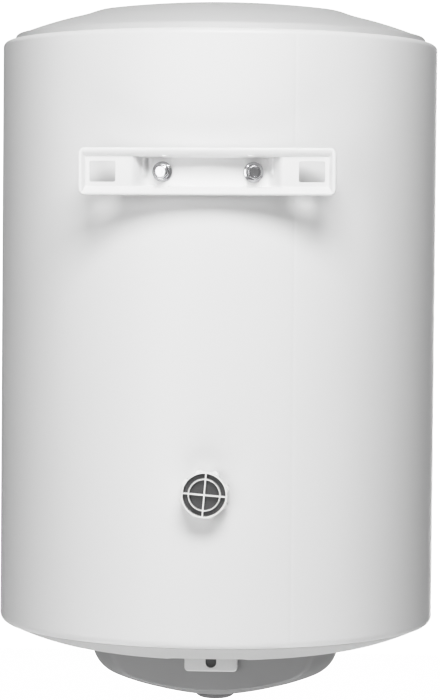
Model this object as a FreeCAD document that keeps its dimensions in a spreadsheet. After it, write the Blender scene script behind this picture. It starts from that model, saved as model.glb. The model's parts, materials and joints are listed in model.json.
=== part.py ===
"""Wall-hung electric storage water heater, as a parametric document.

Row frame: +Z up, +Y towards the wall, -Y is the front of the heater. The origin is on the
wall-side plane of the wall bracket, midway between its two hook holes. Drum parts are drawn
about the drum's own axis, which lies jacket_radius + wall_gap in front of the wall plane.
All sizes are millimetres and live in the sheet "dims".
"""
import FreeCAD, Part
import math
import os
import re

import Sketcher
from FreeCAD import Placement, Rotation, Vector

os.makedirs("parts", exist_ok=True)
doc = FreeCAD.newDocument("tank_water_heater")

# ---------------------------------------------------------------- driving dimensions
# A "level" is a height above the origin, a "drop" a height below it.
DIMENSIONS = {
    # shared allowances: a cutting tool's overrun, a hole round a boss, a close fit, a running fit
    "overrun": 1, "hole_gap": 0.3, "fit_gap": 0.05, "running_gap": 0.08, "seam": 0.4,
    # drum and its place on the wall
    "jacket_radius": 225, "jacket_skin": 1, "wall_gap": 20, "rim_level": 138.6, "rim_radius": 214.5,
    "rim_roll": 6, "base_drop": 451.9, "base_roll": 8.4, "base_flange": 8.6,
    # top lid: skirt, slanted band, lip, dome and the raised centre
    "lid_wall": 2, "lid_skirt": 8, "lid_radius": 214.2, "lip_edge": 202.9, "lip_edge_rise": 6,
    "lip_roll": 1.6, "lip_top": 200.4, "lip_top_rise": 6.9, "dome_foot": 198.8, "dome_foot_rise": 7.4,
    "dome_sphere": 368, "dome_edge": 130, "dome_rise": 29.6, "crown_rise": 42, "crown_foot": 130.5,
    "crown_flare": 2.78, "crown_length_radius": 632, "crown_side_radius": 890, "crown_half_length": 150,
    "crown_bed": 15, "riser_low": 20, "riser_high": 46,
    # bottom cap
    "cap_wall": 1.5, "cap_sphere": 320, "cap_ring_radius": 130, "cap_ring_drop": 484, "cap_flat_radius": 60,
    "cap_flat_drop": 487.2, "cap_opening": 123.3, "cap_facet": 72.5, "cap_collar_depth": 7.5,
    "cap_lip": 1.4, "cap_lip_radius": 218, "pipe_hole": 12.5,
    # service cover: bowl, rear facet and the dish for the knob
    "cover_wall": 2.5, "cover_radius": 130, "cover_top": 484.7, "bowl_rim": 127.5, "bowl_rim_drop": 492.3,
    "bowl_shoulder": 108.7, "bowl_shoulder_drop": 513.5, "shoulder_slant_in": 0.5,
    "shoulder_slant_up": 0.9, "bowl_turn": 32, "bowl_waist": 75, "bowl_waist_drop": 525,
    "bowl_foot": 35, "bowl_foot_drop": 534.7, "dish_radius": 22, "dish_floor": 525,
    "cover_bottom": 536.9, "facet": 77,
    # service cover screws
    "cover_screw_drop": 488.7, "cover_screw_seat": 130, "cover_screw_length": 11,
    "cover_screw_radius": 1.5, "cover_screw_head": 3.6, "cover_screw_head_height": 2.2,
    # cable entry plate on the facet
    "entry_half_width": 27, "entry_top": 487.7, "entry_bottom": 502.3, "entry_depth": 14,
    "entry_corner": 3.5, "entry_wall": 2.2, "cable_slot_half": 5.25, "cable_slot_top": 489.2,
    "cable_slot_centre": 493.3, "cable_hole_half": 7, "groove_drop": 491, "groove_width": 0.5,
    # cable clamp and its ledge in the cover
    "ledge_drop": 500, "ledge_thickness": 5, "ledge_front": 60, "clamp_half_width": 17, "clamp_near": 62,
    "clamp_far": 72, "clamp_drop": 487.5, "clamp_arch_half": 6, "clamp_arch_drop": 490.5,
    "clamp_screw_offset": 12, "clamp_screw_setback": 67, "clamp_screw_radius": 1.4, "clamp_screw_head": 2.8,
    # thermostat, knob, spindle, reset button and sensing rod
    "knob_radius": 20.4, "knob_bottom": 542.6, "knob_face": 12, "knob_round": 11, "knob_side": 538.4,
    "knob_top": 526, "knob_socket_drop": 537, "pointer_half": 1, "pointer_depth": 1.2,
    "spindle_radius": 3, "spindle_top": 504, "case_half_width": 28, "case_half_depth": 19,
    "case_bottom": 515, "case_top": 490, "shoulder_radius": 8, "button_offset": 20, "button_bottom": 518,
    "button_top": 508, "button_bore_top": 505, "rod_radius": 3, "rod_bottom": 495, "rod_top": 250,
    # indicator lamp
    "lamp_setback": 60, "lens_radius": 4, "lens_bottom": 530.2, "lens_top": 516, "lens_flange": 5.5,
    "lens_flange_bottom": 524.6, "lens_flange_top": 523, "lamp_radius": 3, "lamp_bottom": 528.4,
    "lamp_top": 514, "pinch_radius": 2, "pinch_top": 510,
    # wall bracket
    "bracket_half": 123, "bracket_half_height": 22.6, "bracket_corner": 6, "bracket_sheet": 2.5,
    "bracket_return": 14, "tray_depth": 5, "tray_slope": 5, "rim_flat": 3,
    "hook_spacing": 200, "hook_hole_width": 25, "hook_hole_height": 20, "hook_hole_corner": 1.5,
    "trough_shoulder": 72, "trough_floor_half": 54, "trough_half_height": 14, "trough_reach": 28,
    "trough_floor": 3.3, "pad_width": 17, "pad_bottom": 15, "pad_height": 28.5, "pad_rise": 3.9,
    "rib_offset": 60.5, "rib_half": 1.5, "rib_near": 12, "rib_far": 24, "rib_bottom": 4, "rib_top": 15,
    # bracket bolts and the bosses that they screw into
    "bolt_angle": 11, "bolt_seat": 3.95, "bolt_flange_radius": 9.8, "bolt_flange": 1.8,
    "bolt_flange_bevel": 1.2, "bolt_corner_radius": 7.5, "bolt_head": 9, "bolt_bevel": 5.1,
    "bolt_dimple_radius": 3.4, "bolt_shank_radius": 3.95, "bolt_shank": 24, "bolt_hole": 4.5,
    "boss_radius": 9, "boss_reach": 3, "boss_bore_depth": 22,
    # lower spacer
    "spacer_drop": 308.8, "foot_radius": 22.2, "foot_thickness": 7.5, "web": 2, "foot_ring": 16.2,
    "pad_thickness": 1.5, "stem_end": 40, "wheel_radius": 21.4, "wheel_near": 8, "wheel_far": 15.5,
    "lobe_radius": 4.4, "lobe_reach": 20.1, "hub_radius": 12, "hub_end": 22.5, "stem_radius": 8.5,
    "stem_flat": 6, "socket_flange": 19, "socket_near": 16, "socket_step": 22, "socket_wall": 3,
    "socket_bore_end": 23, "socket_end": 34,
    # inner tank
    "tank_radius": 193, "tank_wall": 2, "tank_top": 92, "tank_base": 402, "head_depth": 50,
    "head_knuckle": 30, "head_crown_edge": 172, "head_crown_level": 27,
    # water pipes with their collars, the standpipe and the diffuser
    "pipe_spacing": 100, "pipe_setback": 140, "pipe_radius": 10.2, "pipe_bore": 7.9, "pipe_end": 510,
    "nipple_radius": 10.48, "nipple_length": 16, "inlet_top": 415, "outlet_top": 425,
    "standpipe_bottom": 450, "standpipe_level": 102, "standpipe_wall": 0.8, "collar_radius": 15.5,
    "collar_bottom": 490.5, "collar_top": 484.4, "spigot_radius": 12.3, "spigot_top": 476,
    "diffuser_radius": 14, "diffuser_bottom": 424, "diffuser_top": 402, "diffuser_wall": 2,
    "window_half": 6, "window_bottom": 413, "window_top": 406,
    # bottom flange with its gasket, studs and nuts
    "neck_radius": 49, "neck_wall": 2.5, "neck_top": 447, "flange_radius": 64, "flange_drop": 474,
    "flange_thickness": 6, "gasket": 3, "stud_circle": 55, "stud_radius": 4, "stud_length": 9.5,
    "nut_radius": 7.5, "nut_height": 6.4,
    # heating element, thermostat pocket and anode
    "element_half": 16, "element_tube": 4, "element_top": 200, "element_setback": 30, "element_end": 486.5,
    "pin_radius": 1.6, "blade_half_width": 3.15, "blade_half": 0.4, "blade_top": 489, "blade_bottom": 498,
    "pocket_radius": 5.5, "pocket_bore": 4.2, "pocket_top": 235, "anode_radius": 10, "anode_bottom": 470,
    "anode_top": 290, "anode_stud_radius": 3, "anode_stud_end": 492, "anode_setback": 30,
    "anode_nut_radius": 5.8, "anode_nut_height": 5.1,
    # insulation foam: its underside from the flange out, and its top under the lid
    "foam_neck_radius": 66, "foam_neck_drop": 470, "foam_ring_radius": 120, "foam_ring_drop": 479,
    "foam_edge_radius": 200, "foam_edge_drop": 463.5, "foam_roll_radius": 214.6, "foam_roll_drop": 455,
    "foam_wall_drop": 448, "foam_skirt": 9, "foam_lip_radius": 211.5, "foam_lip_drop": 2,
    "foam_lid_radius": 199, "foam_lid_rise": 3.5, "foam_core_drop": 200,
}

sheet = doc.addObject("Spreadsheet::Sheet", "dims")
for row, (alias, size) in enumerate(DIMENSIONS.items(), start=1):
    sheet.set(f"A{row}", alias)
    sheet.set(f"B{row}", str(size))
    sheet.setAlias(f"B{row}", alias)
doc.recompute()

ALIAS = re.compile(r"[a-z_]+")
LEFT, RIGHT = -1, 1
TOWARDS_WALL = Rotation(Vector(1, 0, 0), -90)
UPSIDE_DOWN = Rotation(Vector(1, 0, 0), 180)
AXIS_Y = "-(jacket_radius + wall_gap)"
BASE = "-(base_drop + base_roll)"
SPACER_Z = "-spacer_drop"
PIPE_Y = "-pipe_setback"
PIPE_X = "pipe_spacing / 2"
FLANGE_TOP = "-flange_drop + flange_thickness"
PLATE_TOP = "-flange_drop - gasket"
PLATE_BASE = PLATE_TOP + " - flange_thickness"
BOLT_ANGLES = (90 - DIMENSIONS["bolt_angle"], 90 + DIMENSIONS["bolt_angle"])
COVER_SCREW_ANGLES = (-35, -90, -145)
STUD_ANGLES = [60 * i for i in range(6)]
# degrees that the lid's raised centre is swept through, past its own edges on both sides
CROWN_SWEEP = 24
# degrees that the spacer foot's cross leans about +Y, and lobes of its wheel and where the first is
CROSS_TURN, LOBES, FIRST_LOBE = -4.5, 8, 29
# a tool that cuts right through a part of the heater's underside runs from BELOW to ABOVE
BELOW, ABOVE = "-(knob_bottom + 20)", "-(base_drop - 12)"
# reach of a cutting block past any part of the underside, across or away from the drum's axis
FAR = "cover_radius + 40"
NODES = []


# ---------------------------------------------------------------- helpers
def formula(text):
    """The text with the sheet's name in front of each alias."""
    return ALIAS.sub(lambda m: "dims." + m.group() if m.group() in DIMENSIONS else m.group(), text)


def bind(obj, path, text):
    obj.setExpression(path, formula(text))


def number(text):
    return float(sheet.evalExpression(formula(text)))


def put(obj, x="0", y="0", z="0", rotation=Rotation()):
    """Place an object, with each coordinate bound to its formula."""
    obj.Placement = Placement(Vector(number(x), number(y), number(z)), rotation)
    for letter, text in zip("xyz", (x, y, z)):
        bind(obj, f"Placement.Base.{letter}", text)
    return obj


def draw(sketch, corners):
    """Closed outline through corners (across, up[, arc radius to the next corner]).

    A positive arc radius turns anticlockwise, a negative one clockwise. Each corner and radius
    is a dimension of the sketch, bound to its formula.
    """
    points = [Vector(number(c[0]), number(c[1]), 0) for c in corners]
    count = len(corners)
    starts, ends = [], []
    for i, corner in enumerate(corners):
        here, there = points[i], points[(i + 1) % count]
        if len(corner) == 2:
            edge = sketch.addGeometry(Part.LineSegment(here, there))
            starts.append((edge, 1))
            ends.append((edge, 2))
            continue
        radius = number(corner[2])
        chord = there - here
        rise = math.sqrt(max(radius ** 2 - (chord.Length / 2) ** 2, 0)) * math.copysign(1, radius)
        centre = (here + there) / 2 + Vector(-chord.y, chord.x, 0) / chord.Length * rise
        first, last = (here, there) if radius > 0 else (there, here)
        angles = [math.atan2(p.y - centre.y, p.x - centre.x) for p in (first, last)]
        circle = Part.Circle(centre, Vector(0, 0, 1), abs(radius))
        edge = sketch.addGeometry(Part.ArcOfCircle(circle, angles[0], angles[1]))
        starts.append((edge, 1 if radius > 0 else 2))
        ends.append((edge, 2 if radius > 0 else 1))
        size = sketch.addConstraint(Sketcher.Constraint("Radius", edge, abs(radius)))
        bind(sketch, f"Constraints[{size}]", corner[2].lstrip("-"))
    for i, corner in enumerate(corners):
        sketch.addConstraint(Sketcher.Constraint("Coincident", *ends[i - 1], *starts[i]))
        for kind, text, place in (("DistanceX", corner[0], points[i].x),
                                  ("DistanceY", corner[1], points[i].y)):
            size = sketch.addConstraint(Sketcher.Constraint(kind, -1, 1, *starts[i], place))
            bind(sketch, f"Constraints[{size}]", text)


def sketch_in(body, role, corners, lift="0"):
    """A sketch on one of the body's own origin planes, moved along its normal by lift."""
    sketch = body.newObject("Sketcher::SketchObject", body.Name + "_outline")
    origin_plane = next(f for f in body.Origin.OriginFeatures if f.Role == role)
    sketch.AttachmentSupport = [(origin_plane, "")]
    sketch.MapMode = "FlatFace"
    bind(sketch, "AttachmentOffset.Base.z", lift)
    draw(sketch, corners)
    return sketch


def lathe(name, corners):
    """A body turned about Z from an outline of (radius, height) corners."""
    body = doc.addObject("PartDesign::Body", name)
    turn = body.newObject("PartDesign::Revolution", name + "_turn")
    turn.Profile = sketch_in(body, "XZ_Plane", corners)
    turn.ReferenceAxis = (turn.Profile[0], ["V_Axis"])
    turn.Angle = 360
    body.Tip = turn
    return body


def slab(name, role, corners, thickness, lift="0"):
    """A body padded from an outline along its plane's normal."""
    body = doc.addObject("PartDesign::Body", name)
    pad = body.newObject("PartDesign::Pad", name + "_pad")
    pad.Profile = sketch_in(body, role, corners, lift)
    bind(pad, "Length", thickness)
    body.Tip = pad
    return body


def solid(kind, name, x="0", y="0", z="0", rotation=Rotation(), **sizes):
    """A Part primitive with bound sizes."""
    obj = doc.addObject("Part::" + kind, name)
    for prop, text in sizes.items():
        bind(obj, prop, text)
    return put(obj, x, y, z, rotation)


def block(name, x_range, y_range, z_range):
    """A box given by its low and high formula along each axis."""
    lows = [low for low, high in (x_range, y_range, z_range)]
    spans = [f"({high}) - ({low})" for low, high in (x_range, y_range, z_range)]
    return solid("Box", name, *lows, Length=spans[0], Width=spans[1], Height=spans[2])


def rod(name, radius, low, high, x="0", y="0"):
    """An upright cylinder."""
    return solid("Cylinder", name, x, y, low, Radius=radius, Height=f"({high}) - ({low})")


def join(name, *shapes):
    fuse = doc.addObject("Part::MultiFuse", name)
    fuse.Shapes = list(shapes)
    fuse.Refine = True
    return fuse


def shared(name, first, second):
    common = doc.addObject("Part::Common", name)
    common.Base, common.Tool = first, second
    return common


def cut(name, base, *tools):
    """Base less its tools."""
    result = doc.addObject("Part::Cut", name)
    result.Base = base
    result.Tool = tools[0] if len(tools) == 1 else join(name + "_tools", *tools)
    result.Refine = True
    return result


def along(angle, radius):
    """Formulas of the point at a radius and angle in the horizontal plane."""
    return f"({radius}) * cos({angle})", f"({radius}) * sin({angle})"


def around(angle):
    """Turn that points Z outwards at an angle from +X in the horizontal plane."""
    return Rotation(Vector(0, 0, 1), Vector(math.cos(math.radians(angle)), math.sin(math.radians(angle)), 0))


def spun(angle):
    """Turn about Z that points X outwards at an angle."""
    return Rotation(Vector(0, 0, 1), angle)


def both(half):
    """The range from minus to plus a half width."""
    return f"-({half})", half


def rounded(half_width, half_height, radius, across="0", up="0"):
    """Corners of a rectangle with rounded corners, about a centre."""
    near = (f"({half_width}) - ({radius})", f"({half_height}) - ({radius})")
    return [
        (f"{across} - ({near[0]})", f"{up} - ({half_height})"),
        (f"{across} + ({near[0]})", f"{up} - ({half_height})", radius),
        (f"{across} + ({half_width})", f"{up} - ({near[1]})"),
        (f"{across} + ({half_width})", f"{up} + ({near[1]})", radius),
        (f"{across} + ({near[0]})", f"{up} + ({half_height})"),
        (f"{across} - ({near[0]})", f"{up} + ({half_height})", radius),
        (f"{across} - ({half_width})", f"{up} + ({near[1]})"),
        (f"{across} - ({half_width})", f"{up} - ({near[1]})", radius),
    ]


def loft(name, near, far, near_depth, far_depth):
    """A ruled solid between two outlines lying at two depths in front of the wall plane."""
    sections = []
    for corners, depth in ((near, near_depth), (far, far_depth)):
        section = doc.addObject("Sketcher::SketchObject", name + "_section")
        put(section, "0", f"-({depth})", "0", Rotation(Vector(1, 0, 0), 90))
        draw(section, corners)
        sections.append(section)
    skin = doc.addObject("Part::Loft", name)
    skin.Sections = sections
    skin.Solid = True
    skin.Ruled = True
    return skin


def node(obj, label, y=None, z="0"):
    """Keep an object as a sub-part; y places a drum part on the drum's axis."""
    obj.Label = label
    if y is not None:
        put(obj, "0", y, z)
    NODES.append(obj)


def boss_spaces(name):
    """Holes for the tank's two bosses, out to past the jacket."""
    return [solid("Cylinder", name, rotation=around(angle), Radius="boss_radius + hole_gap",
                  Height="jacket_radius + overrun") for angle in BOLT_ANGLES]


def spacer_space(name):
    """Hole for the spacer's socket, out to past the jacket."""
    return solid("Cylinder", name, z=SPACER_Z, rotation=TOWARDS_WALL,
                 Radius="hub_radius + socket_wall + hole_gap", Height="jacket_radius + overrun")


def cover_screw_holes(name, radius):
    """Radial holes for the service cover's screws."""
    return [solid("Cylinder", name, z="-cover_screw_drop", rotation=around(angle), Radius=radius,
                  Height="cover_radius + overrun") for angle in COVER_SCREW_ANGLES]


# ---------------------------------------------------------------- outer casing
def outer_jacket():
    """Painted steel sleeve, rolled in at both ends, with holes for the bosses and the spacer."""
    shell = lathe("jacket_sleeve", [
        ("jacket_radius - base_roll", BASE, "base_roll"),
        ("jacket_radius", "-base_drop"),
        ("jacket_radius", "rim_level - rim_roll", "rim_roll"),
        ("jacket_radius - rim_roll", "rim_level"),
        ("rim_radius", "rim_level"),
        ("rim_radius", "rim_level - jacket_skin"),
        ("jacket_radius - rim_roll", "rim_level - jacket_skin", "-(rim_roll - jacket_skin)"),
        ("jacket_radius - jacket_skin", "rim_level - rim_roll"),
        ("jacket_radius - jacket_skin", "-base_drop", "-(base_roll - jacket_skin)"),
        ("jacket_radius - base_roll", BASE + " + jacket_skin"),
    ])
    holes = [*boss_spaces("jacket_boss_hole"), spacer_space("jacket_spacer_hole")]
    node(cut("jacket_drilled", shell, *holes), "outer_jacket", AXIS_Y)


def lid_dome(name, inset):
    """Skirt, slanted band, lip and dome of the lid, closed to the axis and moved in by the inset."""
    foot = f"rim_level - lid_skirt - {inset} / 2"
    return lathe(name, [
        ("0", foot),
        (f"lid_radius - {inset}", foot),
        (f"lid_radius - {inset}", f"rim_level - {inset} / 2"),
        (f"lip_edge - {inset}", f"rim_level + lip_edge_rise - {inset}", "lip_roll"),
        (f"lip_top - {inset}", f"rim_level + lip_top_rise - {inset}"),
        (f"dome_foot - {inset}", f"rim_level + dome_foot_rise - {inset}", "dome_sphere"),
        ("dome_edge", f"rim_level + dome_rise - {inset}"),
        ("0", f"rim_level + dome_rise - {inset}"),
    ])


def lid_crown(name, inset):
    """Raised centre of the lid: a flared cone under a surface curved both ways.

    The surface is an arc along Y swept about a line parallel to Y, so it falls away faster to
    the front and the rear than to the sides, and its edge dies into the dome there.
    """
    sag = "(crown_length_radius - sqrt(crown_length_radius ^ 2 - crown_half_length ^ 2))"
    edge = f"rim_level + crown_rise - {inset} - {sag}"
    bed = "rim_level + crown_bed"
    profile = doc.addObject("Sketcher::SketchObject", name + "_arc")
    profile.Placement = Placement(Vector(0, 0, 0), Rotation(Vector(1, 1, 1), 120))
    draw(profile, [
        ("-crown_half_length", bed),
        ("crown_half_length", bed),
        ("crown_half_length", edge, "crown_length_radius"),
        ("-crown_half_length", edge),
    ])
    sweep = doc.addObject("Part::Revolution", name + "_sweep")
    sweep.Source = profile
    sweep.Axis = Vector(0, 1, 0)
    bind(sweep, "Base.z", "rim_level + crown_rise - crown_side_radius")
    sweep.Angle = CROWN_SWEEP
    sweep.Symmetric = True
    sweep.Solid = True
    riser = solid("Cone", name + "_riser", z="rim_level + riser_low",
                  Radius1=f"crown_foot + crown_flare * (dome_rise - riser_low) - {inset}",
                  Radius2=f"crown_foot - crown_flare * (riser_high - dome_rise) - {inset}",
                  Height="riser_high - riser_low")
    return shared(name, sweep, riser)


def top_lid():
    outside, inside = [join(name, lid_dome(name + "_dome", inset), lid_crown(name + "_crown", inset))
                       for name, inset in (("lid_outside", "0"), ("lid_inside", "lid_wall"))]
    node(cut("lid_shell", outside, inside), "top_lid", AXIS_Y)


def bottom_cap():
    """Shallow dished cap with a D-shaped service opening, a collar round it and two pipe holes."""
    edge = "jacket_radius - base_flange"
    dish = lathe("cap_dish", [
        ("cap_flat_radius", "-cap_flat_drop"),
        ("cap_ring_radius", "-cap_ring_drop", "cap_sphere"),
        (edge, BASE + " - cap_lip / 2"),
        (edge, BASE + " + cap_lip"),
        ("cap_lip_radius", BASE + " + cap_lip"),
        ("cap_lip_radius", BASE + " + 2 * cap_lip"),
        (edge + " - cap_wall", BASE + " + 2 * cap_lip"),
        (edge + " - cap_wall", BASE + " + hole_gap", "-cap_sphere"),
        ("cap_ring_radius", "-cap_ring_drop + cap_wall"),
        ("cap_flat_radius", "-cap_flat_drop + cap_wall"),
    ])
    opening = cut("cap_opening", rod("cap_opening_disc", "cap_opening", BELOW, ABOVE),
                  block("cap_opening_flat", both(FAR), ("cap_facet", FAR), (BELOW, ABOVE)))
    tube = cut("cap_collar_tube",
               rod("cap_collar_outer", "cap_opening + cap_wall", "-cover_top - cap_collar_depth",
                   "-cap_ring_drop"),
               rod("cap_collar_inner", "cap_opening", BELOW, ABOVE))
    collar = cut("cap_collar", tube, block("cap_collar_gap", both(FAR), ("ledge_front", FAR), (BELOW, ABOVE)))
    pipe_holes = [rod("cap_pipe_hole", "pipe_hole", BELOW, ABOVE, f"{side} * {PIPE_X}", PIPE_Y)
                  for side in (LEFT, RIGHT)]
    dished = cut("cap_dished", dish, opening, *pipe_holes)
    screw_holes = cover_screw_holes("cap_screw_hole", "cover_screw_radius + hole_gap")
    node(cut("cap_drilled", join("cap_joined", dished, collar), *screw_holes), "bottom_cap", AXIS_Y)


def cover_bowl(name, inset, *centre):
    """Bowl of the service cover turned about the axis, from its centre corners out to the rim."""
    top = f"-cover_top + {inset}"
    return lathe(name, [
        *centre,
        ("bowl_foot", f"-bowl_foot_drop + {inset}"),
        ("bowl_waist", f"-bowl_waist_drop + {inset}"),
        (f"bowl_shoulder - {inset} * shoulder_slant_in",
         f"-bowl_shoulder_drop + {inset} * shoulder_slant_up", "bowl_turn"),
        (f"bowl_rim - {inset}", "-bowl_rim_drop"),
        (f"cover_radius - {inset}", top),
        ("0", top),
    ])


def service_cover():
    """Grey bowl with a flat rear facet, a dish for the knob, and a clamp ledge behind the facet."""
    outer = cut("cover_outer",
                cover_bowl("cover_outer_bowl", "0", ("0", "-dish_floor"), ("dish_radius", "-dish_floor"),
                           ("dish_radius", "-cover_bottom")),
                block("cover_facet_cut", both(FAR), ("facet", FAR), (BELOW, ABOVE)))
    hollow = cut("cover_hollow",
                 cover_bowl("cover_inner_bowl", "cover_wall", ("0", "-bowl_foot_drop + cover_wall")),
                 block("cover_facet_wall", both(FAR), ("facet - cover_wall", FAR), (BELOW, ABOVE)),
                 rod("cover_dish_wall", "dish_radius + cover_wall", BELOW, "-dish_floor + cover_wall"))
    ledge = block("cover_ledge", both("clamp_half_width"), ("ledge_front", "facet - overrun"),
                  ("-ledge_drop - ledge_thickness", "-ledge_drop"))
    under_cap = lathe("cover_seam", [
        ("cap_flat_radius", "-cap_flat_drop - seam"),
        ("cap_ring_radius + overrun", "-cap_ring_drop - seam"),
        ("cap_ring_radius + overrun", ABOVE),
        ("cap_flat_radius", ABOVE),
    ])
    openings = [
        under_cap,
        rod("cover_spindle_hole", "spindle_radius + cap_wall", BELOW, ABOVE),
        rod("cover_lens_hole", "lens_radius + fit_gap", BELOW, ABOVE, "0", "-lamp_setback"),
        block("cover_cable_hole", both("cable_hole_half"), ("clamp_far", "facet + overrun"),
              ("-ledge_drop", ABOVE)),
        *cover_screw_holes("cover_screw_hole", "cover_screw_radius + 2 * hole_gap"),
    ]
    openings += [rod("cover_clamp_hole", "clamp_screw_radius + fit_gap",
                     "-ledge_drop - ledge_thickness + overrun", "-ledge_drop + overrun",
                     f"{side} * clamp_screw_offset", "clamp_screw_setback") for side in (LEFT, RIGHT)]
    shell = cut("cover_shell", outer, hollow)
    node(cut("cover_drilled", join("cover_joined", shell, ledge), *openings), "service_cover", AXIS_Y)


def cover_screws():
    """Three pan-head screws through the cover's rim into the cap's collar."""
    screws = []
    for angle in COVER_SCREW_ANGLES:
        place = dict(z="-cover_screw_drop", rotation=around(angle))
        shank = solid("Cylinder", "cover_screw_shank", *along(angle, "cover_screw_seat - cover_screw_length"),
                      **place, Radius="cover_screw_radius", Height="cover_screw_length + overrun")
        head = solid("Cylinder", "cover_screw_head", *along(angle, "cover_screw_seat"), **place,
                     Radius="cover_screw_head", Height="cover_screw_head_height")
        screws.append(join("cover_screw", shank, head))
    node(join("cover_screw_set", *screws), "cover_screws", AXIS_Y)


# ---------------------------------------------------------------- cable entry
def cable_entry_plate():
    """Light grey tray on the cover's facet, open to the facet, with a U-shaped cable slot."""
    level = "-(entry_top + entry_bottom) / 2"
    half_height = "(entry_bottom - entry_top) / 2"
    front = "-(facet + entry_depth)"
    tray = slab("entry_block", "XZ_Plane", rounded("entry_half_width", half_height, "entry_corner", up=level),
                "entry_depth - 2 * fit_gap", front)
    hollow = slab("entry_hollow", "XZ_Plane",
                  rounded("entry_half_width - entry_wall", half_height + " - entry_wall",
                          "entry_corner - entry_wall", up=level),
                  "entry_depth", front + " + entry_wall")
    depth = ("facet - overrun", "facet + entry_depth + overrun")
    slot_end = solid("Cylinder", "entry_slot_end", "0", depth[0], "-cable_slot_centre", TOWARDS_WALL,
                     Radius="cable_slot_half", Height=f"{depth[1]} - ({depth[0]})")
    slot = block("entry_slot", both("cable_slot_half"), depth, ("-cable_slot_centre", "-cable_slot_top"))
    groove = block("entry_groove", both("entry_half_width + overrun"),
                   ("facet + entry_depth - groove_width", depth[1]),
                   ("-groove_drop", "-groove_drop + groove_width"))
    node(cut("entry_cut", tray, hollow, slot_end, slot, groove), "cable_entry_plate", AXIS_Y)


def cable_clamp():
    """Bridge that presses the mains cable on the cover's ledge, with its two screws."""
    bridge = block("clamp_bridge", both("clamp_half_width"), ("clamp_near", "clamp_far - hole_gap"),
                   ("-ledge_drop", "-clamp_drop"))
    arch = block("clamp_arch", both("clamp_arch_half"), ("clamp_near - overrun", "clamp_far + overrun"),
                 ("-ledge_drop - overrun", "-clamp_arch_drop"))
    places = [(f"{side} * clamp_screw_offset", "clamp_screw_setback") for side in (LEFT, RIGHT)]
    holes = [rod("clamp_hole", "clamp_screw_radius + 2 * running_gap", BELOW, ABOVE, *place)
             for place in places]
    node(cut("clamp_cut", bridge, arch, *holes), "cable_clamp", AXIS_Y)
    screws = [join("clamp_screw",
                   rod("clamp_screw_shank", "clamp_screw_radius",
                       "-ledge_drop - ledge_thickness + 2 * overrun", "-clamp_drop + overrun", *place),
                   rod("clamp_screw_top", "clamp_screw_head", "-clamp_drop",
                       "-clamp_drop + 2 * overrun", *place))
              for place in places]
    node(join("clamp_screw_set", *screws), "clamp_screws", AXIS_Y)


# ---------------------------------------------------------------- thermostat and its knob
def thermostat():
    """Knob and spindle, the thermostat they turn, its reset button and its sensing rod."""
    socket = "spindle_radius + fit_gap / 2"
    knob = lathe("knob_turned", [
        ("0", "-knob_bottom"),
        ("knob_face", "-knob_bottom", "knob_round"),
        ("knob_radius", "-knob_side"),
        ("knob_radius", "-knob_top"),
        (socket, "-knob_top"),
        (socket, "-knob_socket_drop"),
        ("0", "-knob_socket_drop"),
    ])
    pointer = block("knob_pointer", both("pointer_half"),
                    ("-knob_radius + 2 * pointer_half", "-knob_face / 1.5"),
                    (BELOW, "-knob_bottom + pointer_depth"))
    node(cut("knob_marked", knob, pointer), "thermostat_knob", AXIS_Y)
    node(rod("spindle_rod", "spindle_radius", "-knob_socket_drop + fit_gap", "-spindle_top", y=AXIS_Y),
         "thermostat_spindle")
    case = join("thermostat_block",
                block("thermostat_case", both("case_half_width"), both("case_half_depth"),
                      ("-case_bottom", "-case_top")),
                rod("thermostat_shoulder", "shoulder_radius", "-case_top - overrun", PLATE_BASE))
    bores = [
        rod("thermostat_bush", "spindle_radius + running_gap", BELOW, "-spindle_top + overrun"),
        rod("thermostat_button_bore", "spindle_radius + running_gap", BELOW, "-button_bore_top",
            "button_offset"),
        rod("thermostat_rod_bore", "rod_radius + fit_gap", "-rod_bottom", ABOVE),
    ]
    node(cut("thermostat_bored", case, *bores), "thermostat_body", AXIS_Y)
    node(rod("button_rod", "spindle_radius", "-button_bottom", "-button_top", "button_offset", AXIS_Y),
         "reset_button")
    node(rod("sensing_rod", "rod_radius", "-rod_bottom", "-rod_top", y=AXIS_Y), "thermostat_rod")


def indicator():
    """Clear lens in the cover with a neon lamp inside it."""
    place = ("0", "-lamp_setback")
    lens = join("lens_body", rod("lens_barrel", "lens_radius", "-lens_bottom", "-lens_top", *place),
                rod("lens_collar", "lens_flange", "-lens_flange_bottom", "-lens_flange_top", *place))
    bore = rod("lens_bore", "lamp_radius + fit_gap", "-lamp_bottom - 2 * fit_gap", ABOVE, *place)
    node(cut("lens_bored", lens, bore), "indicator_lens", AXIS_Y)
    node(join("lamp_joined", rod("lamp_tube", "lamp_radius", "-lamp_bottom", "-lamp_top", *place),
              rod("lamp_pinch", "pinch_radius", "-lamp_top", "-pinch_top", *place)), "indicator_lamp", AXIS_Y)


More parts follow.
